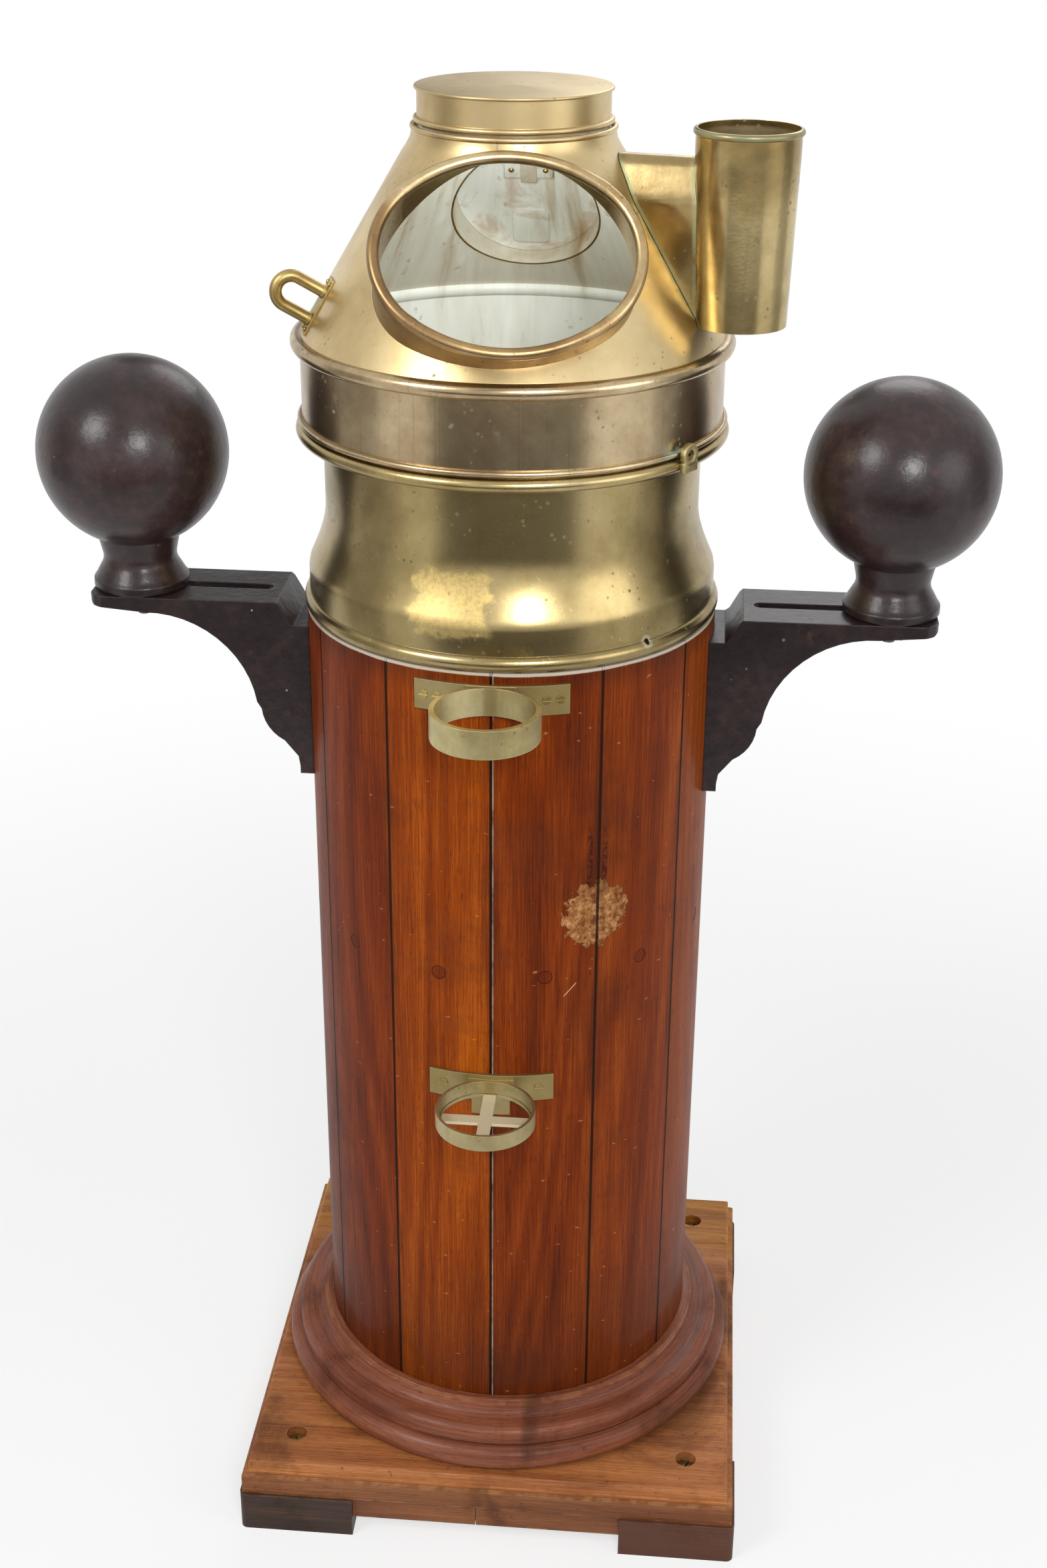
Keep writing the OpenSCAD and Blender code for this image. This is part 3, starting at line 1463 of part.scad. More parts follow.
// Turn knob outside and latch bar inside, on one spindle
module door_latch() {
    color("gold") at(latch_az) translate([0, 0, door_mid]) {
        rod_out(spindle_r, stave_in_r - latch_set - latch_bar_t, drum_r + knob_t);
        translate([0, -drum_r - slide_gap, 0]) rotate([90, 0, 0])
            cylinder(h = knob_t, r1 = knob_r, r2 = knob_r - 2);
        translate([-grip_t / 2, -drum_r - knob_t - grip_h, -knob_r]) cube([grip_t, grip_h + cut, 2 * knob_r]);
        translate([-latch_bar_w / 2, -stave_in_r + latch_set, -latch_bar_w / 2])
            cube([latch_bar_w, latch_bar_t, latch_len + latch_bar_w / 2]);
    }
}

base_board();
base_rear_plank();
base_rails();
corner_feet();
corner_bolts();
lower_moulding();
upper_moulding();
drum_formers();
stave(0);  // stave_01
stave(1);  // stave_02
stave(2);  // stave_03
stave(3);  // stave_04
stave(4);  // stave_05
stave(5);  // stave_06
stave(6);  // stave_07
stave(7);  // stave_08
stave(8);  // stave_09
stave(9);  // stave_10
stave(10);  // stave_11
stave(11);  // stave_12
stave_plugs();
upper_bar_bracket();
lower_bar_bracket();
bar_bracket_screws();
sphere_brackets();
sphere_bracket_screws();
collar();
lock_lug();
gimbal_posts();
gimbal_ring();
compass_bowl();
bowl_bezel();
compass_glass();
compass_card();
card_pivot();
rack_shelf();
magnet_rack();
corrector_magnets();
heeling_tube();
heeling_bucket();
heeling_magnet();
rear_door();
door_battens();
door_hinges();
door_leaves();
door_latch();
hood_cone();
hood_skirt();
window_frame();
hood_handle();
handle_plate();
lamp_tube();
lamp_duct();
port_ring();
port_lid();
top_cap();
sphere_left();
sphere_right();
sphere_stud(-sphere_x);  // sphere_stud_left
sphere_stud(sphere_x);  // sphere_stud_right
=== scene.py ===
import json
import math
import bpy
import bmesh
from mathutils import Matrix, Vector


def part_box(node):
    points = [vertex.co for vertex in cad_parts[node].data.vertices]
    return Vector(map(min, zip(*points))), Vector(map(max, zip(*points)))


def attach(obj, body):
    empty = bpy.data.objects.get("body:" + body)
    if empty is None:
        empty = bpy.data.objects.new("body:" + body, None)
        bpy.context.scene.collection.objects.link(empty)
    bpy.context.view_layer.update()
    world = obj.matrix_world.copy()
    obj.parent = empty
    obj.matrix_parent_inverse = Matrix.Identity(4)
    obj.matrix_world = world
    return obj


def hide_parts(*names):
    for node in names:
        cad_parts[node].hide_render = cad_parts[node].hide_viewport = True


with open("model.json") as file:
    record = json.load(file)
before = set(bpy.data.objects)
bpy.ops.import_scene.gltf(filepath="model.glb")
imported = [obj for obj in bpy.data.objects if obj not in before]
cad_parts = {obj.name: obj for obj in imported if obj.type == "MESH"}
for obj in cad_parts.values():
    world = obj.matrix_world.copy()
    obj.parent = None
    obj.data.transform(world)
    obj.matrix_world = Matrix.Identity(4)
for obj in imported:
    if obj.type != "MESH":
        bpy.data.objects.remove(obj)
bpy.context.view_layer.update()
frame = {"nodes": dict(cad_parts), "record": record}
nodes = frame["nodes"]
print("frame loaded:", len(nodes), "nodes")

# The photograph's view of the binnacle, from eye height a little to the right
camera = {
    "place": (0.1734, -1.8912, 1.6546),
    "heading": 4.86,          # degrees from +Y towards -X
    "pitch": 25.56,           # degrees below the horizon
    "roll": 0.443,
    "lens": 49.07,
    "filmHeight": 36.0,
}


def placeCamera(look):
    heading, pitch, roll = (math.radians(look[k]) for k in ("heading", "pitch", "roll"))
    forward = Vector((-math.sin(heading) * math.cos(pitch), math.cos(heading) * math.cos(pitch), -math.sin(pitch)))
    level = Vector((math.cos(heading), math.sin(heading), 0))
    upright = level.cross(forward)
    right = level * math.cos(roll) + upright * math.sin(roll)
    up = upright * math.cos(roll) - level * math.sin(roll)
    turn = Matrix((right, up, -forward)).transposed().to_4x4()
    data = bpy.data.cameras.new("photoCamera")
    data.sensor_fit = "VERTICAL"
    data.sensor_height = look["filmHeight"]
    data.lens = look["lens"]
    data.clip_end = 50
    eye = bpy.data.objects.new("photoCamera", data)
    bpy.context.scene.collection.objects.link(eye)
    eye.matrix_world = Matrix.Translation(look["place"]) @ turn
    bpy.context.scene.camera = eye


placeCamera(camera)
print("camera placed")


# One socket of a node tree, with arithmetic that adds Math nodes
class Socket:
    def __init__(self, owner, out):
        self.owner = owner
        self.out = out

    def op(self, operation, *others):
        return self.owner.node("ShaderNodeMath", {"operation": operation},
                               {i: v for i, v in enumerate((self,) + others)})

    def __add__(self, other):
        return self.op("ADD", other)

    def __radd__(self, other):
        return self.op("ADD", other)

    def __sub__(self, other):
        return self.op("SUBTRACT", other)

    def __rsub__(self, other):
        return self.owner.node("ShaderNodeMath", {"operation": "SUBTRACT"}, {0: other, 1: self})

    def __mul__(self, other):
        return self.op("MULTIPLY", other)

    def __rmul__(self, other):
        return self.op("MULTIPLY", other)

    def __truediv__(self, other):
        return self.op("DIVIDE", other)

    def above(self, low, high):       # 0 below low, 1 above high, smooth between
        return self.owner.node("ShaderNodeMapRange", {"interpolation_type": "SMOOTHSTEP"},
                               {"Value": self, "From Min": low, "From Max": high})

    def below(self, low, high):
        return 1 - self.above(low, high)

    def within(self, low, high, soft):
        return self.above(low - soft, low + soft) * self.below(high - soft, high + soft)


# A node tree under construction
class Tree:
    def __init__(self, tree):
        self.tree = tree

    def node(self, kind, settings, values, output=0):
        made = self.tree.nodes.new(kind)
        for key, value in settings.items():
            if key == "stops":
                self.setStops(made.color_ramp, value)
            else:
                setattr(made, key, value)
        for key, value in values.items():
            if isinstance(value, Socket):
                self.tree.links.new(value.out, made.inputs[key])
            else:
                made.inputs[key].default_value = value
        return Socket(self, made.outputs[output])

    def setStops(self, ramp, stops):
        while len(ramp.elements) < len(stops):
            ramp.elements.new(0.5)
        for element, (position, colour) in zip(ramp.elements, stops):
            element.position = position
            element.color = (*colour, 1)


# A material under construction
class Shade(Tree):
    def __init__(self, name):
        self.material = bpy.data.materials.new(name)
        self.material.use_nodes = True
        super().__init__(self.material.node_tree)
        self.surface = self.tree.nodes["Principled BSDF"]
        self.place = self.node("ShaderNodeTexCoord", {}, {}, "Object")
        self.x, self.y, self.z = [self.node("ShaderNodeSeparateXYZ", {}, {0: self.place}, axis) for axis in "XYZ"]

    def feed(self, name, value):
        if isinstance(value, Socket):
            self.tree.links.new(value.out, self.surface.inputs[name])
        else:
            self.surface.inputs[name].default_value = value

    def vector(self, x, y, z):
        return self.node("ShaderNodeCombineXYZ", {}, {0: x, 1: y, 2: z})

    def noise(self, where, scale, detail=3.0, rough=0.55, warp=0.0):
        return self.node("ShaderNodeTexNoise", {}, {"Vector": where, "Scale": scale, "Detail": detail,
                                                    "Roughness": rough, "Distortion": warp}, "Fac")

    def cells(self, where, scale):
        return self.node("ShaderNodeTexVoronoi", {"feature": "F1"}, {"Vector": where, "Scale": scale}, "Distance")

    def random(self, number):         # one steady random number for each whole number
        return self.node("ShaderNodeTexWhiteNoise", {"noise_dimensions": "1D"}, {"W": number}, "Value")

    def mix(self, amount, first, second):
        return self.node("ShaderNodeMix", {"data_type": "RGBA", "blend_type": "MIX"},
                         {0: amount, 6: self.colour(first), 7: self.colour(second)}, 2)

    def ramp(self, value, stops):
        return self.node("ShaderNodeValToRGB", {"stops": [(p, linear(*c)) for p, c in stops]}, {"Fac": value}, "Color")

    def colour(self, value):
        return value if isinstance(value, Socket) else (*linear(*value), 1)

    def azimuth(self):                # degrees from the front, towards the right
        return self.x.op("ARCTAN2", self.y * -1) * (180 / math.pi)

    def reach(self, x=0.0, y=0.0):    # distance from an upright line
        return ((self.x - x) * (self.x - x) + (self.y - y) * (self.y - y)).op("SQRT")

    def roundEdges(self, radius):
        return self.node("ShaderNodeBevel", {"samples": 4}, {"Radius": radius})

    def wornEdges(self, radius):      # near 0 on open faces, more on arrises
        rounded = self.roundEdges(radius)
        flat = self.node("ShaderNodeNewGeometry", {}, {}, "Normal")
        return 1 - self.node("ShaderNodeVectorMath", {"operation": "DOT_PRODUCT"}, {0: rounded, 1: flat}, "Value")

    def bump(self, height, distance, edge=0.0):
        values = {"Height": height, "Distance": distance, "Strength": 1.0}
        if edge:
            values["Normal"] = self.roundEdges(edge)
        self.feed("Normal", self.node("ShaderNodeBump", {}, values))


def linear(red, green, blue):         # a colour as read from a picture, 0 to 255
    return tuple(((c / 255 + 0.055) / 1.055) ** 2.4 if c > 10 else c / 3294 for c in (red, green, blue))


# A plain photographer's set: white paper and world, soft lamps and a small one in the hood, grey cards for the metal
studio = {
    "worldLevel": 0.36,
    "paper": (238, 238, 238),
    "paperSize": 14.0,
    "paperFade": (0.7, 2.2),
    "paperGlow": 0.66,
    "lamps": [                # name, place, aim, width, watts
        ("keyLamp", (-2.1, -2.2, 3.1), (0, 0, 0.8), 1.4, 60),
        ("frontLamp", (0.7, -2.5, 2.3), (0, 0, 0.9), 0.8, 40),
        ("fillLamp", (2.6, -1.5, 1.9), (0, 0, 0.8), 1.8, 18),
        ("backLamp", (0.5, 2.4, 2.7), (0, 0, 0.8), 1.6, 18),
        ("windowLamp", (0.0, -0.035, 1.340), (0, 0.17, 1.22), 0.08, 0.28),
    ],
    "cards": [                # name, place, half width and half height, grey
        ("leftCard", (-2.6, -0.4, 1.0), (0.7, 1.3), 196),
        ("rightCard", (2.9, 0.3, 1.0), (0.7, 1.4), 196),
        ("frontCard", (0.1, -1.75, 0.42), (1.5, 0.42), 104),
        ("highCard", (0.1, -3.1, 3.5), (1.1, 0.75), 140),
        ("backCard", (0.0, 3.0, 2.8), (1.5, 1.0), 150),
    ],
}


def addLamp(name, place, target, size, watts):
    data = bpy.data.lights.new(name, "AREA")
    data.shape = "DISK"
    data.size = size
    data.energy = watts
    lamp = bpy.data.objects.new(name, data)
    bpy.context.scene.collection.objects.link(lamp)
    aim = (Vector(target) - Vector(place)).to_track_quat("-Z", "Y")
    lamp.matrix_world = Matrix.Translation(place) @ aim.to_matrix().to_4x4()
    lamp.visible_camera = False


def addCard(name, place, half, grey):
    mesh = bmesh.new()
    bmesh.ops.create_grid(mesh, x_segments=1, y_segments=1, size=1)
    aim = (Vector((0, 0, place[2])) - Vector(place)).to_track_quat("Z", "Y").to_matrix().to_4x4()
    bmesh.ops.transform(mesh, verts=mesh.verts, matrix=Matrix.Translation(place) @ aim @ Matrix.Diagonal((*half, 1, 1)))
    card = finishMesh(mesh, name)
    shade = Shade(name + "Paint")
    shade.feed("Base Color", (*linear(grey, grey, grey), 1))
    shade.feed("Roughness", 1.0)
    card.data.materials.append(shade.material)
    card.visible_camera = False
    card.visible_shadow = False
    card.visible_diffuse = False


# 1 for rays that show the background itself, 0 for rays that carry light
def seenRays(tree):
    straight, glossy, clear = [tree.node("ShaderNodeLightPath", {}, {}, "Is %s Ray" % kind)
                               for kind in ("Camera", "Glossy", "Transmission")]
    return straight.op("MAXIMUM", glossy).op("MAXIMUM", clear)


def setWorld():
    world = bpy.data.worlds.new("studioWorld")
    bpy.context.scene.world = world
    world.use_nodes = True
    sky = Tree(world.node_tree)
    background = sky.tree.nodes["Background"]
    background.inputs["Color"].default_value = (1, 1, 1, 1)
    level = seenRays(sky) * (1 - studio["worldLevel"]) + studio["worldLevel"]
    sky.tree.links.new(level.out, background.inputs["Strength"])


def addPaper():
    mesh = bmesh.new()
    bmesh.ops.create_grid(mesh, x_segments=1, y_segments=1, size=studio["paperSize"])
    paper = finishMesh(mesh, "studioPaper")
    shade = Shade("whitePaper")
    shade.feed("Base Color", (*linear(*studio["paper"]), 1))
    shade.feed("Roughness", 0.9)
    shine = shade.node("ShaderNodeEmission", {}, {"Color": (1, 1, 1, 1), "Strength": 1.0})
    far = shade.reach().above(*studio["paperFade"])
    amount = seenRays(shade) * (far * (1 - studio["paperGlow"]) + studio["paperGlow"])
    both = shade.node("ShaderNodeMixShader", {}, {0: amount, 1: Socket(shade, shade.surface.outputs[0]), 2: shine})
    shade.tree.links.new(both.out, shade.tree.nodes["Material Output"].inputs["Surface"])
    paper.data.materials.append(shade.material)


# Turns a finished bmesh into an object at the origin
def finishMesh(mesh, name):
    data = bpy.data.meshes.new(name)
    bmesh.ops.recalc_face_normals(mesh, faces=mesh.faces)
    mesh.to_mesh(data)
    mesh.free()
    for face in data.polygons:
        face.use_smooth = True
    made = bpy.data.objects.new(name, data)
    bpy.context.scene.collection.objects.link(made)
    return made


bpy.context.scene.view_settings.view_transform = "Standard"
setWorld()
addPaper()
for lamp in studio["lamps"]:
    addLamp(*lamp)
for card in studio["cards"]:
    addCard(*card)
print("studio set")

# Smooth faces with crisp arrises on the turned, spun and sawn pieces
arrises = {"weld": 0.00002, "crease": 32}


def makeSmoothing(look):
    group = bpy.data.node_groups.new("smoothFaces", "GeometryNodeTree")
    group.interface.new_socket("Geometry", in_out="INPUT", socket_type="NodeSocketGeometry")
    group.interface.new_socket("Geometry", in_out="OUTPUT", socket_type="NodeSocketGeometry")
    build = Tree(group)
    start = build.node("NodeGroupInput", {}, {})
    merged = build.node("GeometryNodeMergeByDistance", {}, {"Geometry": start, "Distance": look["weld"]})
    soft = build.node("GeometryNodeSetShadeSmooth", {"domain": "FACE"}, {"Geometry": merged, "Shade Smooth": True})
    angle = build.node("GeometryNodeInputMeshEdgeAngle", {}, {})
    crisp = angle.op("GREATER_THAN", math.radians(look["crease"]))
    done = build.node("GeometryNodeSetShadeSmooth", {"domain": "EDGE"},
                      {"Geometry": soft, "Selection": crisp, "Shade Smooth": False})
    group.links.new(done.out, group.nodes.new("NodeGroupOutput").inputs[0])
    return group


smoothFaces = makeSmoothing(arrises)
for node in nodes.values():
    node.modifiers.new("smoothFaces", "NODES").node_group = smoothFaces
print("faces smoothed")

# Old varnished teak: streaks and fibres along the grain, pores across it
timber = {
    "bandScale": 30.0, "bandStretch": 1.6, "figureScale": 8.0, "figureStretch": 0.8, "ringCount": 13.0,
    "ringDepth": 0.10, "fibreScale": 620.0, "fibreStretch": 12.0, "poreScale": 1500.0, "poreStretch": 70.0,
    "arris": 0.0012,
}


# Grain from a place across, through and along the wood: its tone, pores and fibres
def grainOf(shade, across, through, along, look=timber):
    def stretched(kind):
        scale, stretch = look[kind + "Scale"], look[kind + "Stretch"]
        return shade.vector(across * scale, through * scale, along * stretch)

    bands = shade.noise(stretched("band"), 1.0, 3.0, 0.5, 0.6)
    figure = shade.noise(stretched("figure"), 1.0, 1.2, 0.4)
    rings = ((figure * look["ringCount"]).op("FRACT") - 0.5).op("ABSOLUTE") * 2
    fibres = shade.noise(stretched("fibre"), 1.0, 3.0, 0.65)
    pores = shade.noise(stretched("pore"), 1.0, 1.0).above(0.60, 0.72)
    tone = bands * 0.38 + rings * look["ringDepth"] + fibres * (0.62 - look["ringDepth"])
    return tone, pores, fibres


# The twelve staves: red-brown varnish, one lighter rippled stave, dark open seams
staveLook = {
    "radius": 0.192, "staveTurn": 30, "seed": 41, "shine": 0.06,
    "dark": (62, 20, 1), "middle": (112, 42, 3), "light": (150, 70, 14), "faded": (128, 66, 22),
    "paleStave": -1, "paleDark": (92, 32, 1), "paleMiddle": (130, 54, 2), "paleLight": (178, 90, 16),
    "ripple": (120, 56, 14), "pore": (40, 16, 6), "blotch": (66, 28, 12),
    "foot": (58, 26, 12), "footHeight": (0.14, 0.36), "head": (52, 24, 14), "headHeight": (0.915, 0.941),
    "inside": (84, 58, 34), "insideReach": (0.1895, 0.1912),
}


def makeStaves(look):
    shade = Shade("varnishedStaves")
    turn = shade.azimuth()
    number = (turn / look["staveTurn"]).op("FLOOR")
    chance = shade.random(number + look["seed"])
    perDegree = look["radius"] * math.pi / 180
    through = shade.reach()
    tone, pores, fibres = grainOf(shade, turn * perDegree + chance * 3, through, shade.z)
    tone = tone + chance * 0.12 - 0.06
    red = shade.ramp(tone, [(0.28, look["dark"]), (0.47, look["middle"]), (0.68, look["light"])])
    pale = shade.ramp(tone, [(0.26, look["paleDark"]), (0.44, look["paleMiddle"]), (0.66, look["paleLight"])])
    isPale = number.op("COMPARE", look["paleStave"], 0.1)
    ripple = shade.noise(shade.vector(turn * 0.05, 0.0, shade.z * 62), 1.0, 2.0, 0.5, 0.8)
    pale = shade.mix(isPale * ripple.above(0.5, 0.75) * 0.35, pale, look["ripple"])
    wood = shade.mix(isPale, red, pale)
    wood = shade.mix((chance - 0.5).op("MAXIMUM", 0) * 0.6, wood, look["faded"])
    wood = shade.mix(pores * 0.55, wood, look["pore"])
    blotches = shade.noise(shade.place, 9.0, 4.0, 0.6)
    wood = shade.mix(blotches.above(0.5, 0.72) * 0.4, wood, look["blotch"])
    wood = shade.mix(shade.z.below(*look["footHeight"]) * 0.45, wood, look["foot"])
    wood = shade.mix(shade.z.above(*look["headHeight"]) * 0.45, wood, look["head"])
    wood = scuffStaves(shade, wood, turn, scuffs)
    wood, patch, mottle = patchStaves(shade, wood, turn, repair)
    part = (turn / look["staveTurn"]).op("FRACT")
    wood = plugStaves(shade, wood, (part - 0.5) * look["staveTurn"] * perDegree, plugs)
    gap = part.op("MINIMUM", 1 - part) * look["staveTurn"] * perDegree
    wood, seam = seamStaves(shade, wood, gap, turn * perDegree, blotches, seams)
    inside = through.below(*look["insideReach"])
    shade.feed("Base Color", shade.mix(inside * 0.7, wood, look["inside"]))
    shade.feed("Roughness", 0.34 + blotches * 0.2 + patch * 0.3 + pores * 0.1)
    shade.feed("Coat Weight", (1 - patch) * (1 - seam) * (1 - inside) * look["shine"])
    shade.feed("Coat Roughness", 0.08)
    shade.feed("Specular IOR Level", 0.06)
    ease = shade.noise(shade.place, 16.0, 2.0)
    shade.bump(fibres * 0.16 + ease * 0.55 + patch * (mottle * 0.8 + 0.25) - seam * 1.2 - pores * 0.08, 0.0011)
    return shade.material


# Drips and scratches in the varnish, and one slanting nick
scuffs = {"drip": (44, 18, 8), "scratch": (196, 132, 84), "nick": (222, 190, 160), "nickTurn": (20.4, 24.0),
          "nickMiddle": 22, "nickSlant": 0.0035, "nickHeight": (0.6205, 0.6215)}


def scuffStaves(shade, wood, turn, look):
    drips = shade.noise(shade.vector(turn * 1.6, 0.0, shade.z * 5), 1.0, 4.0, 0.6, 0.3)
    wood = shade.mix(drips.above(0.62, 0.74) * 0.35, wood, look["drip"])
    scratch = shade.noise(shade.vector(turn * 0.3 + shade.z * 14, 0.0, shade.z * 190), 1.0, 1.0).above(0.735, 0.76)
    wood = shade.mix(scratch * 0.4, wood, look["scratch"])
    slanting = shade.z - (turn - look["nickMiddle"]) * look["nickSlant"]
    nick = turn.within(*look["nickTurn"], 0.1) * slanting.within(*look["nickHeight"], 0.0004)
    return shade.mix(nick * 0.8, wood, look["nick"])


# The old repair across the seam on the right, with dark runs above it
repair = {"turn": (29.2, 9.4), "height": (0.6995, 0.033), "dark": (104, 60, 32), "middle": (150, 100, 58),
          "pale": (186, 140, 96), "runs": [(26.6, 28.2, 0.5), (31.2, 32.6, 0.4)], "runHeight": (0.722, 0.786),
          "run": (34, 12, 6)}


def patchStaves(shade, wood, turn, look):
    wander = shade.noise(shade.place, 95.0, 3.0, 0.6) - 0.5
    (middle, half), (level, tall) = look["turn"], look["height"]
    sideways = (turn - middle) / half
    upwards = (shade.z - level) / tall
    patch = (sideways * sideways + upwards * upwards + wander * 2.6).below(0.92, 1.02)
    mottle = shade.noise(shade.place, 170.0, 4.0, 0.7)
    filler = shade.ramp(mottle, [(0.36, look["dark"]), (0.52, look["middle"]), (0.66, look["pale"])])
    wood = shade.mix(patch, wood, filler)
    left, right = [(turn + wander * 1.6).within(*run) for run in look["runs"]]
    runs = (left + right) * shade.z.within(*look["runHeight"], 0.012) * mottle.above(0.36, 0.6)
    return shade.mix(runs * 0.8, wood, look["run"]), patch, mottle


# Plugs over the screws, one to a stave
plugs = {"height": 0.638, "radius": 0.0065, "wood": (84, 26, 6), "ring": (20, 10, 6)}


def plugStaves(shade, wood, aside, look):
    radius = look["radius"]
    fromPlug = (aside * aside + (shade.z - look["height"]) * (shade.z - look["height"])).op("SQRT")
    wood = shade.mix(fromPlug.below(radius, radius + 0.0006) * 0.45, wood, look["wood"])
    return shade.mix(fromPlug.within(radius - 0.0003, radius + 0.0007, 0.0003) * 0.7, wood, look["ring"])


# Dark seams with grime beside them, old putty along the front one and under the collar
seams = {"half": 0.0013, "seam": (20, 10, 6), "grime": (50, 24, 12), "putty": (206, 196, 176),
         "puttyLine": (0.0010, 0.0021), "puttyTop": (0.9398, 0.9410)}


def seamStaves(shade, wood, gap, fromFront, blotches, look):
    seam = gap.below(look["half"] * 0.6, look["half"] * 1.3)
    wood = shade.mix(seam * 0.9, wood, look["seam"])
    grime = gap.below(0.001, 0.009) * blotches.above(0.35, 0.6)
    wood = shade.mix(grime * 0.35, wood, look["grime"])
    gaps = shade.noise(shade.vector(0.0, 0.0, shade.z), 16.0, 4.0, 0.7).above(0.36, 0.60)
    line = fromFront.within(*look["puttyLine"], 0.0003) * gaps
    wood = shade.mix(line * 0.6, wood, look["putty"])
    top = (shade.z + (blotches - 0.5) * 0.004).above(*look["puttyTop"])
    return shade.mix(top * 0.75, wood, look["putty"]), seam


# Turned and sawn pieces of the base, grained along their own length
baseLook = {
    "baseTeak": {"dark": (98, 48, 20), "middle": (156, 94, 50), "light": (192, 126, 72),
                 "stain": (62, 32, 18), "worn": (206, 152, 96), "coat": 0.16, "frontShade": (-0.2485, -0.2455)},
    "rearPlank": {"dark": (100, 52, 14), "middle": (166, 104, 36), "light": (204, 146, 66),
                  "stain": (74, 40, 16), "worn": (212, 168, 106), "coat": 0.16},
    "feetTeak": {"dark": (34, 22, 16), "middle": (62, 42, 32), "light": (92, 64, 46),
                 "stain": (24, 15, 11), "worn": (120, 90, 68), "coat": 0.16, "redFoot": (96, 52, 30)},
    "mouldingTeak": {"dark": (70, 30, 16), "middle": (118, 62, 38), "light": (152, 92, 62),
                     "stain": (50, 26, 16), "worn": (186, 128, 86), "coat": 0.34},
    "innerPine": {"dark": (120, 84, 48), "middle": (176, 134, 86), "light": (206, 168, 118),
                  "stain": (104, 76, 48), "worn": (214, 184, 140), "coat": 0.0},
}
sawing = {"boardWidth": 0.125, "mouldingRadius": 0.24}


def makeBaseWood(name, lay):
    look = baseLook[name]
    shade = Shade(name)
    if lay == "round":
        along = shade.azimuth() * (sawing["mouldingRadius"] * math.pi / 180)
        tone, pores, fibres = grainOf(shade, shade.reach(), shade.z, along)
    elif lay == "upright":
        tone, pores, fibres = grainOf(shade, shade.x, shade.y, shade.z)
    else:
        board = (shade.y / sawing["boardWidth"] + 0.5).op("FLOOR")
        tone, pores, fibres = grainOf(shade, shade.y + board * 0.7, shade.z, shade.x + board * 0.37)
    wood = shade.ramp(tone, [(0.28, look["dark"]), (0.48, look["middle"]), (0.70, look["light"])])
    wood = shade.mix(pores * 0.5, wood, look["dark"])
    stains = shade.noise(shade.place, 7.0, 5.0, 0.62, 0.5)
    wood = shade.mix(stains.above(0.52, 0.68) * 0.6, wood, look["stain"])
    specks = shade.noise(shade.place, 130.0, 2.0, 0.6).above(0.66, 0.74)
    wood = shade.mix(specks * 0.5, wood, look["stain"])
    wood = shade.mix(shade.z.below(0.0, 0.03) * 0.5, wood, look["stain"])
    # Painted shade: the board's front face is mixed towards the stain colour, darker than the top as a face turned from
    # the light
    if "frontShade" in look:         # darker than the top
        wood = shade.mix(shade.y.below(*look["frontShade"]) * 0.5, wood, look["stain"])
    if "redFoot" in look:           # the right-hand foot has kept more of its red
        wood = shade.mix(shade.x.above(0.0, 0.05) * 0.55, wood, look["redFoot"])
    edge = shade.wornEdges(0.004).above(0.02, 0.22) * shade.noise(shade.place, 60.0, 3.0).above(0.42, 0.6)
    shade.feed("Base Color", shade.mix(edge * 0.5, wood, look["worn"]))
    shade.feed("Roughness", 0.46 + stains * 0.25 + edge * 0.1)
    shade.feed("Coat Weight", stains.below(0.4, 0.66) * look["coat"])
    shade.feed("Coat Roughness", 0.28)
    shade.feed("Specular IOR Level", 0.25)
    dents = shade.noise(shade.place, 34.0, 3.0)
    shade.bump(fibres * 0.3 + dents * 0.6 - pores * 0.15, 0.0011, timber["arris"])
    return shade.material


# Brass sheet and castings, each with its own tarnish
brassLook = {
    "hoodBrass": {"bright": (216, 197, 154), "middle": (202, 180, 134), "dull": (174, 150, 104), "spot": (132, 112, 74),
                  "rough": 0.27, "dents": 0.0009, "tarnish": 0.25},
    "skirtBrass": {"bright": (208, 190, 152), "middle": (174, 152, 118), "dull": (126, 108, 82), "spot": (66, 50, 36),
                   "rough": 0.17, "dents": 0.0009, "tarnish": 0.45},
    "collarBrass": {"bright": (182, 164, 122), "middle": (168, 149, 104), "dull": (132, 114, 74), "spot": (60, 50, 28),
                    "rough": 0.19, "dents": 0.0008, "tarnish": 0.4},
    "frameBrass": {"bright": (206, 184, 142), "middle": (166, 138, 96), "dull": (126, 98, 68), "spot": (76, 54, 40),
                   "rough": 0.24, "dents": 0.0008, "tarnish": 0.5},
    "lampBrass": {"bright": (198, 177, 128), "middle": (156, 134, 88), "dull": (106, 87, 52), "spot": (72, 60, 38),
                  "rough": 0.15, "dents": 0.0012, "tarnish": 0.4},
    "oldBrass": {"bright": (196, 174, 116), "middle": (152, 130, 80), "dull": (100, 88, 52), "spot": (64, 62, 42),
                 "rough": 0.32, "dents": 0.0005, "tarnish": 0.5},
    "bracketBrass": {"bright": (214, 202, 158), "middle": (178, 164, 118), "dull": (136, 120, 80), "spot": (92, 82, 56),
                     "rough": 0.42, "dents": 0.0006, "tarnish": 0.5},
    "portBrass": {"bright": (206, 184, 130), "middle": (172, 148, 96), "dull": (124, 102, 60), "spot": (72, 60, 38),
                  "rough": 0.26, "dents": 0.0008, "tarnish": 0.4},
    "innerBrass": {"bright": (206, 176, 104), "middle": (176, 146, 78), "dull": (124, 100, 52), "spot": (82, 66, 38),
                   "rough": 0.30, "dents": 0.0004, "tarnish": 0.4},
}


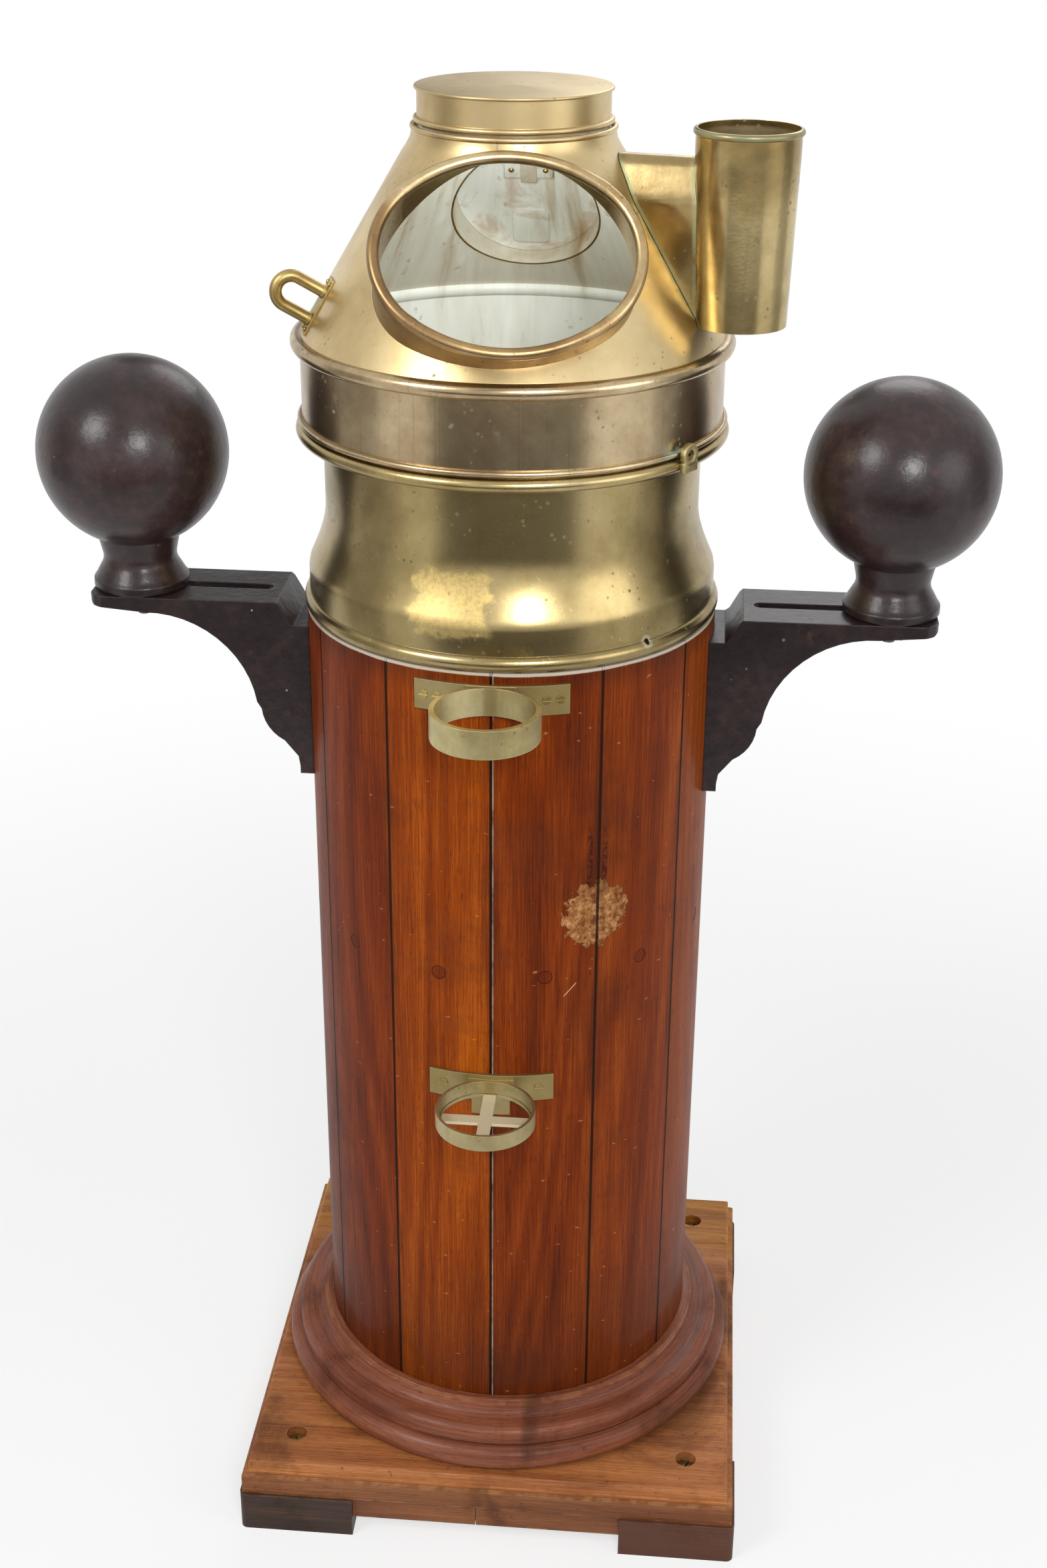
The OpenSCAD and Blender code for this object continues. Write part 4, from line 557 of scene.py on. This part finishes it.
# Tarnished brass; a dress function lays the marks of one piece over it
def makeBrass(name, dress=None):
    look = brassLook[name]
    shade = Shade(name)
    clouds = shade.noise(shade.place, 5.5, 5.0, 0.58, 0.4)
    mottle = shade.noise(shade.place, 46.0, 4.0, 0.62)
    tarnish = clouds * 0.78 + mottle * 0.22
    brass = shade.ramp(tarnish, [(0.36, look["bright"]), (0.50, look["middle"]), (0.66, look["dull"])])
    spots = shade.cells(shade.place, 120.0).below(0.10, 0.24) * shade.noise(shade.place, 22.0, 2.0).above(0.52, 0.62)
    brass = shade.mix(spots * 0.65, brass, look["spot"])
    pits = shade.noise(shade.place, 420.0, 2.0, 0.6).above(0.66, 0.74)
    brass = shade.mix(pits * 0.35, brass, look["spot"])
    turn = shade.azimuth()
    streaks = shade.noise(shade.vector(turn * 0.85, 0.0, shade.z * 3.0), 1.0, 4.0, 0.65).above(0.56, 0.72)
    brass = shade.mix(streaks * 0.7 * look["tarnish"], brass, look["dull"])
    edge = shade.wornEdges(0.0025).above(0.03, 0.30) * mottle.above(0.36, 0.56)
    brass = shade.mix(edge * 0.5, brass, look["bright"])
    rough = look["rough"] + tarnish * 0.16 + spots * 0.2
    metal = 1 - spots * 0.5
    rubbed = shade.noise(shade.vector(turn * 3.0, shade.reach() * 40, shade.z * 420), 1.0, 3.0, 0.6)
    height = shade.noise(shade.place, 13.0, 2.0) * 0.7 + mottle * 0.10 + rubbed * 0.03 - pits * 0.02
    if dress:
        marks = {"turn": turn, "clouds": clouds, "mottle": mottle, "dull": look["dull"]}
        brass, rough, metal = dress(shade, brass, rough, metal, marks)
    shade.feed("Base Color", brass)
    shade.feed("Metallic", metal)
    shade.feed("Roughness", rough)
    shade.bump(height, look["dents"], 0.0006)
    return shade.material


# The hood's own measures, which its paint, lamp house and port share
hoodShape = {"footRadius": 0.1933, "slope": 0.598137, "bead": 1.191, "lampTurn": 77.0, "lampReach": 0.206,
             "portUp": 0.088, "portRadius": 0.068}
paintLook = {"clean": (232, 236, 228), "aged": (222, 225, 214), "worn": (196, 188, 166), "drip": (150, 124, 92),
             "rust": (150, 116, 78)}


# Pale old paint inside the hood, with brown drips
def insidePaint(shade, turn, look=paintLook):
    drift = shade.noise(shade.vector(turn * 0.10, shade.z * 5, 0.0), 1.0, 5.0, 0.6)
    paint = shade.ramp(drift, [(0.44, look["clean"]), (0.58, look["aged"]), (0.68, look["worn"]), (0.78, look["drip"])])
    rust = shade.noise(shade.place, 40.0, 4.0, 0.7).above(0.62, 0.70)
    return shade.mix(rust * 0.5, paint, look["rust"])


# The cone: paint inside it, a short seam over the window, and painted shade round the neck that darkens the lamps'
# reflection there
hoodMarks = {"paintTop": (1.398, 1.401), "seam": (120, 112, 84), "seamTurn": (-4.2, -3.2),
             "seamHeight": (1.353, 1.374), "shadedNeckTurn": (-48, 48), "shadedNeckHeight": (1.322, 1.358)}


def dressHood(shade, brass, rough, metal, marks, look=hoodMarks):
    turn = marks["turn"]
    line = hoodShape["footRadius"] - (shade.z - hoodShape["bead"]).op("MAXIMUM", 0) * hoodShape["slope"]
    inside = (shade.reach() - line).below(-0.0030, -0.0012) * shade.z.below(*look["paintTop"])
    brass = shade.mix(inside, brass, insidePaint(shade, turn))
    seam = turn.within(*look["seamTurn"], 0.25) * shade.z.within(*look["seamHeight"], 0.003)
    brass = shade.mix(seam * 0.6, brass, look["seam"])
    # Painted shade: the brass round the neck is mixed towards its dull colour to darken the lamps' reflection
    shadedNeck = shade.z.above(*look["shadedNeckHeight"]) * turn.within(*look["shadedNeckTurn"], 18)
    brass = shade.mix(shadedNeck * 0.5, brass, marks["dull"])
    return brass, rough + inside * 0.25, metal * (1 - inside)


# The skirt: pale splashes, lime beside the padlock's lug and paint inside it
skirtMarks = {"splash": (206, 188, 152), "lime": (206, 214, 200), "limeTurn": (48, 57), "limeTop": (1.126, 1.138),
              "insideReach": (0.1886, 0.1892)}


def dressSkirt(shade, brass, rough, metal, marks, look=skirtMarks):
    turn = marks["turn"]
    splash = shade.noise(shade.place, 34.0, 5.0, 0.7, 1.0).above(0.60, 0.66) * marks["clouds"].above(0.44, 0.56)
    brass = shade.mix(splash * 0.65, brass, look["splash"])
    lime = turn.within(*look["limeTurn"], 2.5) * shade.z.below(*look["limeTop"]) * marks["mottle"].above(0.36, 0.52)
    brass = shade.mix(lime * 0.85, brass, look["lime"])
    inside = shade.reach().below(*look["insideReach"])
    brass = shade.mix(inside, brass, insidePaint(shade, turn))
    return brass, rough + inside * 0.25, metal * (1 - inside)


# The collar: a rubbed patch, a small pale hole, a darker band, dust along its foot and scratches
collarMarks = {"rubbed": (212, 184, 116), "rubbedTurn": (-22, -1), "rubbedHeight": (0.972, 1.026),
               "hole": (206, 198, 170), "holeTurn": 44, "holeHeight": 0.957, "band": (84, 70, 34),
               "bandTop": (0.984, 0.988), "dust": (196, 192, 176), "dustTop": (0.9435, 0.947),
               "scratch": (206, 188, 130)}


def dressCollar(shade, brass, rough, metal, marks, look=collarMarks):
    turn = marks["turn"]
    wander = shade.noise(shade.place, 60.0, 4.0, 0.65) - 0.5
    height = (shade.z + wander * 0.03).within(*look["rubbedHeight"], 0.004)
    rubbed = (turn + wander * 14).within(*look["rubbedTurn"], 1.5) * height
    grit = shade.noise(shade.place, 260.0, 3.0, 0.7).above(0.42, 0.58)
    brass = shade.mix(rubbed * (0.35 + grit * 0.4), brass, look["rubbed"])
    hole = ((turn - look["holeTurn"]) * 0.0033).op("POWER", 2) + (shade.z - look["holeHeight"]).op("POWER", 2)
    brass = shade.mix(hole.below(0.00001, 0.00005) * 0.7, brass, look["hole"])
    band = shade.z.below(*look["bandTop"]) * (1 - rubbed)
    brass = shade.mix(band * 0.22, brass, look["band"])
    dust = shade.z.below(*look["dustTop"]) * marks["mottle"].above(0.38, 0.5)
    brass = shade.mix(dust * 0.8, brass, look["dust"])
    scratch = shade.noise(shade.vector(turn * 0.5, 0.0, shade.z * 260 + turn * 0.9), 1.0, 1.0).above(0.72, 0.75)
    brass = shade.mix(scratch * 0.5, brass, look["scratch"])
    return brass, rough + rubbed * 0.12 + dust * 0.4, metal


# The lamp house: soot in its tube, green solder where it meets the hood, and painted shade on the upper duct and the
# tube's left side
lampMarks = {"tubeFoot": 1.2185, "tubeRadius": 0.040, "tubeFlare": 0.0310, "tubeMouth": (1.372, 1.379),
             "soot": (46, 38, 26), "solder": (126, 140, 108), "ductShadeHeight": (1.26, 1.31),
             "shadedSideAcross": (-0.038, -0.028)}


def dressLamp(shade, brass, rough, metal, marks, look=lampMarks):
    a = math.radians(hoodShape["lampTurn"])
    lampX, lampY = hoodShape["lampReach"] * math.sin(a), -hoodShape["lampReach"] * math.cos(a)
    fromTube = shade.reach(lampX, lampY) - (look["tubeRadius"] + (shade.z - look["tubeFoot"]) * look["tubeFlare"])
    soot = fromTube.below(-0.0022, -0.0006) * shade.z.below(*look["tubeMouth"])
    fromHood = shade.reach() - (hoodShape["footRadius"] - (shade.z - hoodShape["bead"]) * hoodShape["slope"])
    solder = fromHood.below(0.002, 0.005).op("MAXIMUM", fromTube.within(0.0004, 0.0030, 0.0008))
    solder = solder * (1 - soot) * marks["mottle"].above(0.30, 0.50)
    duct = fromTube.above(0.002, 0.006)
    side = (shade.x - lampX).below(*look["shadedSideAcross"]) * (1 - duct)
    # Painted shade: the upper duct and the tube's left side are mixed towards the dull colour, darkening their
    # reflections
    brass = shade.mix(duct * shade.z.above(*look["ductShadeHeight"]) * 0.5 + side * 0.35, brass, marks["dull"])
    brass = shade.mix(solder * 0.55, brass, look["solder"])
    brass = shade.mix(soot * 0.75, brass, look["soot"])
    return brass, rough + soot * 0.3 + solder * 0.15, metal * (1 - soot * 0.6) * (1 - solder * 0.5)


# The port's ring and cover: stained paint within, a darker strap, and painted shade along the arrises
portMarks = {"stain": (176, 140, 98), "strap": (168, 148, 112), "strapAcross": (-0.0061, 0.0091),
             "edge": (112, 100, 78)}


def dressPort(shade, brass, rough, metal, marks, look=portMarks):
    lean, radius = math.atan(hoodShape["slope"]), hoodShape["portRadius"]
    fromY = shade.y - (hoodShape["footRadius"] - hoodShape["portUp"] * hoodShape["slope"])
    fromZ = shade.z - (hoodShape["bead"] + hoodShape["portUp"])
    fromWall = fromY * math.cos(lean) + fromZ * math.sin(lean)      # along the port's axis
    up = fromZ * math.cos(lean) - fromY * math.sin(lean)
    middle = (shade.x * shade.x + up * up).op("SQRT")
    lined = middle.below(radius - 0.0004, radius + 0.0006) * fromWall.below(0.0155, 0.0159)
    stained = shade.noise(shade.place, 24.0, 5.0, 0.62, 0.6).above(0.50, 0.66)
    stained = stained * middle.below(radius - 0.002, radius + 0.002)
    paint = shade.mix(stained * 0.5, insidePaint(shade, marks["turn"]), look["stain"])
    strap = shade.x.within(*look["strapAcross"], 0.0002) * fromWall.below(0.0105, 0.0107)
    strap = strap * middle.below(radius - 0.004, radius - 0.003)
    paint = shade.mix(strap * 0.55, paint, look["strap"])
    # Painted shade: a dark line along every arris outlines the plate, strap and pad
    paint = shade.mix(shade.wornEdges(0.0014).above(0.02, 0.16) * 0.6, paint, look["edge"])
    return shade.mix(lined, brass, paint), rough + lined * 0.2, metal * (1 - lined)


# The corrector bar's brackets: browner plates, a duller lower ring with pale bars in it
bracketMarks = {"plate": (138, 116, 68), "plateReach": (0.1985, 0.1995), "lowerTop": (0.60, 0.62),
                "bars": (206, 196, 164), "barHeight": (0.5115, 0.5158), "ringY": -0.242, "barReach": (0.0405, 0.0420)}


def dressBracket(shade, brass, rough, metal, marks, look=bracketMarks):
    plate = shade.reach().below(*look["plateReach"])
    brass = shade.mix(plate * 0.6, brass, look["plate"])
    brass = shade.mix(shade.z.below(*look["lowerTop"]) * (1 - plate) * 0.45, brass, marks["dull"])
    bars = shade.z.within(*look["barHeight"], 0.0003) * shade.reach(0, look["ringY"]).below(*look["barReach"])
    brass = shade.mix(bars * 0.8, brass, look["bars"])
    return brass, rough, metal * (1 - bars * 0.8)


# Painted iron of the spheres and their brackets
ironLook = {"paint": (46, 33, 33), "deep": (33, 24, 25), "rub": (66, 50, 47), "rust": (92, 46, 30),
            "chip": (196, 190, 178), "bracket": (22, 18, 18), "bracketTop": (0.954, 0.960)}


def makeIron(look):
    shade = Shade("paintedIron")
    clouds = shade.noise(shade.place, 8.0, 4.0, 0.6, 0.3)
    fine = shade.noise(shade.place, 90.0, 4.0, 0.65)
    paint = shade.ramp(clouds * 0.6 + fine * 0.4, [(0.36, look["deep"]), (0.50, look["paint"]), (0.66, look["rub"])])
    rust = shade.noise(shade.place, 26.0, 4.0, 0.7).above(0.60, 0.70) * fine.above(0.46, 0.6)
    paint = shade.mix(rust * 0.55, paint, look["rust"])
    edge = shade.wornEdges(0.003).above(0.03, 0.28) * fine.above(0.42, 0.58)
    paint = shade.mix(edge * 0.55, paint, look["rub"])
    nearShoulder = shade.x.below(-0.20, -0.18) * shade.z.within(0.84, 0.95, 0.01)
    chips = shade.cells(shade.place, 70.0).below(0.09, 0.13) * shade.noise(shade.place, 30.0, 2.0).above(0.60, 0.64)
    paint = shade.mix(chips * (nearShoulder * 0.6 + 0.3), paint, look["chip"])
    shade.feed("Base Color", shade.mix(shade.z.below(*look["bracketTop"]) * 0.4, paint, look["bracket"]))
    shade.feed("Roughness", 0.23 + clouds * 0.14 + rust * 0.25)
    shade.feed("Specular IOR Level", 0.36)
    shade.bump(shade.noise(shade.place, 30.0, 4.0, 0.6) * 0.6 + fine * 0.22 - chips * 0.2, 0.0012, 0.0015)
    return shade.material


# Bare steel of nuts and screws, and the blue-painted magnets with red ends
steelLook = {"bright": (150, 144, 136), "dull": (88, 82, 76), "rust": (104, 62, 38), "blue": (44, 58, 98),
             "red": (150, 40, 32)}


def makeSteel(name, look, painted):
    shade = Shade(name)
    mottle = shade.noise(shade.place, 140.0, 4.0, 0.65)
    metal = shade.ramp(mottle, [(0.38, look["bright"]), (0.62, look["dull"])])
    if painted:
        halves = (shade.x + shade.y).above(-0.0005, 0.0005)
        metal = shade.mix(halves, look["blue"], look["red"])
        metal = shade.mix(mottle.above(0.60, 0.68) * 0.5, metal, look["dull"])
    rust = shade.noise(shade.place, 60.0, 3.0, 0.7).above(0.55, 0.66)
    metal = shade.mix(rust * 0.6, metal, look["rust"])
    edge = shade.wornEdges(0.0015).above(0.04, 0.3)
    shade.feed("Base Color", shade.mix(edge * 0.5, metal, look["bright"]))
    shade.feed("Metallic", 0.3 if painted else 0.9)
    shade.feed("Roughness", 0.38 + rust * 0.3)
    shade.bump(mottle * 0.5 + rust * 0.3, 0.0004, 0.0005)
    return shade.material


# The bowl's glass, a little smeared
glassLook = {"tint": (0.93, 0.97, 0.96, 1), "bend": 1.45, "smear": 0.08}


def makeGlass(look):
    shade = Shade("bowlGlass")
    shade.feed("Base Color", look["tint"])
    smears = shade.noise(shade.place, 26.0, 4.0, 0.65)
    shade.feed("Roughness", smears.above(0.5, 0.75) * look["smear"] + 0.01)
    shade.feed("Transmission Weight", 1.0)
    shade.feed("IOR", look["bend"])
    shade.bump(smears, 0.00006)
    return shade.material


# The compass card: degree marks round the edge and an eight-pointed rose
cardLook = {
    "paper": (232, 226, 204), "aged": (196, 178, 136), "ink": (28, 26, 30), "hubBrass": (160, 132, 74), "hub": 0.009,
    "scale": 0.0945, "ticks": [(1, 0.00022, 0.0905), (5, 0.0004, 0.0880), (10, 0.0006, 0.0855)],
    "ring": 0.0700, "winds": (11.25, 0.0005, 0.0700, 0.0760), "longPoint": (0.068, 0.012), "shortPoint": (0.052, 0.010),
}


def makeCard(look):
    shade = Shade("compassCardFace")
    turn = shade.azimuth() + 360
    out = shade.reach()

    def marks(every, width, low, high):
        share = (turn / every).op("FRACT")
        offset = share.op("MINIMUM", 1 - share) * every * (math.pi / 180) * out
        return offset.below(width * 0.7, width * 1.3) * out.within(low, high, 0.0003)

    def points(every, start, length, width):     # long thin diamonds from the middle
        share = ((turn + start) / every).op("FRACT")
        offset = (share.op("MINIMUM", 1 - share) * (every * math.pi / 180)).op("SINE") * out
        taper = (1 - out / length) * width
        return (offset - taper).below(-0.0002, 0.0002) * out.below(length - 0.0006, length), share

    ink = out.within(look["scale"], look["scale"] + 0.0008, 0.0002)
    for every, width, low in look["ticks"]:
        ink = ink.op("MAXIMUM", marks(every, width, low, look["scale"]))
    ink = ink.op("MAXIMUM", out.within(look["ring"], look["ring"] + 0.0006, 0.0002))
    ink = ink.op("MAXIMUM", marks(*look["winds"]))
    long, half = points(90, 0, *look["longPoint"])
    short, otherHalf = points(90, 45, *look["shortPoint"])
    rose = long * (0.35 + half.above(0.49, 0.51) * 0.65)
    rose = rose.op("MAXIMUM", short * (1 - long) * (0.25 + otherHalf.above(0.49, 0.51) * 0.5))
    ink = ink.op("MAXIMUM", rose)
    age = shade.noise(shade.place, 24.0, 4.0, 0.6)
    paper = shade.mix(age.above(0.45, 0.72) * 0.45, look["paper"], look["aged"])
    face = shade.mix(ink * 0.9, paper, look["ink"])
    shade.feed("Base Color", shade.mix(out.below(look["hub"] - 0.0002, look["hub"] + 0.0002), face, look["hubBrass"]))
    shade.feed("Roughness", 0.55 + age * 0.15)
    shade.bump(shade.noise(shade.place, 300.0, 2.0) * 0.2 + ink * 0.1, 0.0001)
    return shade.material


# One finish for each material slot; the port's ring and cover have their own
finishes = {
    "stave_teak": makeStaves(staveLook),
    "base_teak": makeBaseWood("baseTeak", "along"),
    "plank_teak": makeBaseWood("rearPlank", "along"),
    "foot_teak": makeBaseWood("feetTeak", "along"),
    "moulding_teak": makeBaseWood("mouldingTeak", "round"),
    "inner_pine": makeBaseWood("innerPine", "upright"),
    "old_brass": makeBrass("oldBrass"),
    "bracket_brass": makeBrass("bracketBrass", dressBracket),
    "collar_brass": makeBrass("collarBrass", dressCollar),
    "hood_brass": makeBrass("hoodBrass", dressHood),
    "skirt_brass": makeBrass("skirtBrass", dressSkirt),
    "frame_brass": makeBrass("frameBrass"),
    "lamp_brass": makeBrass("lampBrass", dressLamp),
    "inner_brass": makeBrass("innerBrass"),
    "black_iron": makeIron(ironLook),
    "steel": makeSteel("fittingSteel", steelLook, False),
    "magnet_steel": makeSteel("paintedMagnets", steelLook, True),
    "glass": makeGlass(glassLook),
    "card": makeCard(cardLook),
}
portBrass = makeBrass("portBrass", dressPort)
for part in frame["record"]["subparts"]:
    slots = nodes[part["node"]].data.materials
    slots.clear()
    slots.append(portBrass if part["node"].startswith("port_") else finishes[part["material_slot"]])
print("finishes on", len(finishes), "slots")


# A frame on the hood's side: Y inwards through the sheet, Z up the slope
def onSlope(azimuth, up):
    out = hoodShape["footRadius"] - up * hoodShape["slope"]
    return (Matrix.Rotation(math.radians(azimuth), 4, "Z") @ Matrix.Translation((0, -out, hoodShape["bead"] + up))
            @ Matrix.Rotation(-math.atan(hoodShape["slope"]), 4, "X"))


# A flat plate with rounded corners and eased edges, faced along Y
def makePlate(width, thick, height, corner, ease):
    mesh = bmesh.new()
    bmesh.ops.create_cube(mesh, size=1)
    bmesh.ops.scale(mesh, vec=(width, thick, height), verts=mesh.verts)
    through = [e for e in mesh.edges if abs(e.verts[0].co.y - e.verts[1].co.y) > thick / 2]
    bmesh.ops.bevel(mesh, geom=through, offset=corner, segments=5, profile=0.5, affect="EDGES", material=-1)
    rims = [e for e in mesh.edges if e.calc_face_angle() > 1]
    bmesh.ops.bevel(mesh, geom=rims, offset=ease, segments=2, profile=0.5, affect="EDGES", material=-1)
    return mesh


# A domed rivet head on a thin washer; it stands at its place and points along Y (side 1) or against it (side -1)
def addRivet(mesh, place, radius, side):
    profile = [(0.0, 0.0), (1.25, 0.0), (1.25, 0.12), (1.0, 0.16), (0.96, 0.40), (0.74, 0.62), (0.40, 0.76),
               (0.0, 0.80)]
    x, y, z = place
    points = [mesh.verts.new((x + r * radius, y + side * h * radius, z)) for r, h in profile]
    lines = [mesh.edges.new(pair) for pair in zip(points, points[1:])]
    bmesh.ops.spin(mesh, geom=points + lines, cent=place, axis=(0, 1, 0), angle=2 * math.pi, steps=20,
                   use_merge=True, use_duplicate=False)
    bmesh.ops.remove_doubles(mesh, verts=mesh.verts, dist=0.00001)


# Adds one bmesh to another
def joinMesh(mesh, piece):
    data = bpy.data.meshes.new("strip")
    piece.to_mesh(data)
    piece.free()
    mesh.from_mesh(data)
    bpy.data.meshes.remove(data)


def finishPiece(mesh, name, frameOn, body, finish):
    bmesh.ops.transform(mesh, matrix=frameOn, verts=mesh.verts)
    made = finishMesh(mesh, name)
    made.modifiers.new("smoothFaces", "NODES").node_group = smoothFaces
    made.data.materials.append(finish)
    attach(made, body)
    return made


# Caulking in the twelve seams; the seams of the rear door stop at its edges
caulking = {"width": 0.0010, "depth": 0.0036, "face": 0.19195, "corner": 0.0002, "ease": 0.0001,
            "doorTurns": (150, 180, 210), "doorMiddle": 180, "doorGap": 0.0004}


def addStrip(mesh, look, turn, foot, head):
    strip = makePlate(look["width"], look["depth"], head - foot, look["corner"], look["ease"])
    inSeam = Matrix.Translation((0, look["depth"] / 2 - look["face"], (foot + head) / 2))
    bmesh.ops.transform(strip, matrix=Matrix.Rotation(math.radians(turn), 4, "Z") @ inSeam, verts=strip.verts)
    joinMesh(mesh, strip)


def makeCaulking(look):
    low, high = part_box("stave_01")
    doorLow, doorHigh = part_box("rear_door")
    fixed, swinging = bmesh.new(), bmesh.new()
    for turn in range(0, 360, staveLook["staveTurn"]):
        if turn in look["doorTurns"]:
            addStrip(fixed, look, turn, low[2], doorLow[2] - look["doorGap"])
            addStrip(fixed, look, turn, doorHigh[2] + look["doorGap"], high[2])
        else:
            addStrip(fixed, look, turn, low[2], high[2])
    addStrip(swinging, look, look["doorMiddle"], doorLow[2], doorHigh[2])
    still = Matrix.Identity(4)
    finishPiece(fixed, "seamCaulking", still, "pedestal", finishes["stave_teak"])
    finishPiece(swinging, "doorCaulking", still, "door", finishes["stave_teak"])


makeCaulking(caulking)
print("seams caulked")

# The stop plate, its strap and rivets on the port's ring, and the latch pad inside the port's cover
portFittings = {
    "stopFace": -0.0115, "lidFace": -0.0152, "ease": 0.0003,
    "plate": (0.045, 0.0010, 0.0355, 0.0020), "plateAt": (-0.0015, 0.0423),
    "strap": (0.015, 0.0014, 0.0415, 0.0015), "strapAt": (-0.0015, 0.0412),
    "pad": (0.035, 0.0016, 0.0400, 0.0060), "padAt": (-0.0010, -0.0360),
    "rivets": [(-0.0175, 0.0335), (0.0145, 0.0335)], "rivetRadius": 0.0022,
}


def makePortFittings(look):
    frameOn = onSlope(180, hoodShape["portUp"])
    stop = look["stopFace"]
    onPlate = stop + look["plate"][1]
    for name, part, face, body in (("portRing_plate", "plate", stop, "hood"),
                                   ("portRing_strap", "strap", onPlate, "hood"),
                                   ("portCover_pad", "pad", look["lidFace"], "port_cover")):
        width, thick, height, corner = look[part]
        mesh = makePlate(width, thick, height, corner, look["ease"])
        x, z = look[part + "At"]
        bmesh.ops.translate(mesh, verts=mesh.verts, vec=(x, face + thick / 2, z))
        finishPiece(mesh, name, frameOn, body, portBrass)
    mesh = bmesh.new()
    for x, z in look["rivets"]:
        addRivet(mesh, (x, onPlate, z), look["rivetRadius"], 1)
    finishPiece(mesh, "portRing_rivets", frameOn, "hood", finishes["old_brass"])


makePortFittings(portFittings)
print("port fitted")

# Rivets that hold the handle's plate to the hood
handleRivets = {"azimuth": -74, "up": 0.033, "across": 0.0066, "along": 0.0222, "face": -0.0019, "radius": 0.0019}


def makeHandleRivets(look):
    mesh = bmesh.new()
    for x in (-look["across"], look["across"]):
        for z in (-look["along"], look["along"]):
            addRivet(mesh, (x, look["face"], z), look["radius"], -1)
    frameOn = onSlope(look["azimuth"], look["up"])
    finishPiece(mesh, "handlePlate_rivets", frameOn, "hood", finishes["old_brass"])


makeHandleRivets(handleRivets)
print("handle plate riveted")

# The lug for a padlock: a rounded eye on a short foot that stands on the collar's rim
lugLook = {"azimuth": 55, "rim": 0.1965, "foot": 1.1056, "width": 0.020, "thick": 0.0050, "eyeUp": 0.0150,
           "eyeRadius": 0.0100, "holeRadius": 0.0046, "underHole": 0.0008, "corner": 0.0012, "ease": 0.0010,
           "inset": 0.0006}


def makeLug(look):
    inner, outer, half = look["holeRadius"], look["eyeRadius"], look["thick"] / 2
    rise = look["eyeUp"] - inner - look["underHole"]
    mesh = makePlate(look["width"], look["thick"], rise, look["corner"], look["ease"])
    bmesh.ops.translate(mesh, verts=mesh.verts, vec=(0, 0, rise / 2))
    corners = [(inner, -half), (outer, -half), (outer, half), (inner, half)]
    points = [mesh.verts.new((r, y, look["eyeUp"])) for r, y in corners]
    lines = [mesh.edges.new((points[i], points[(i + 1) % 4])) for i in range(4)]
    bmesh.ops.spin(mesh, geom=points + lines, cent=(0, 0, look["eyeUp"]), axis=(0, 1, 0), angle=2 * math.pi, steps=40,
                   use_merge=True, use_duplicate=False)
    rims = [e for e in mesh.edges if e.is_manifold and e.calc_face_angle() > 1]
    bmesh.ops.bevel(mesh, geom=rims, offset=look["ease"] * 0.6, segments=2, profile=0.5, affect="EDGES", material=-1)
    place = (Matrix.Rotation(math.radians(look["azimuth"]), 4, "Z")
             @ Matrix.Translation((0, -look["rim"] - half + look["inset"], look["foot"])))
    lug = finishPiece(mesh, "padlockLug", place, "pedestal", finishes["bracket_brass"])
    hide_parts("lock_lug")


makeLug(lugLook)
print("padlock lug made")
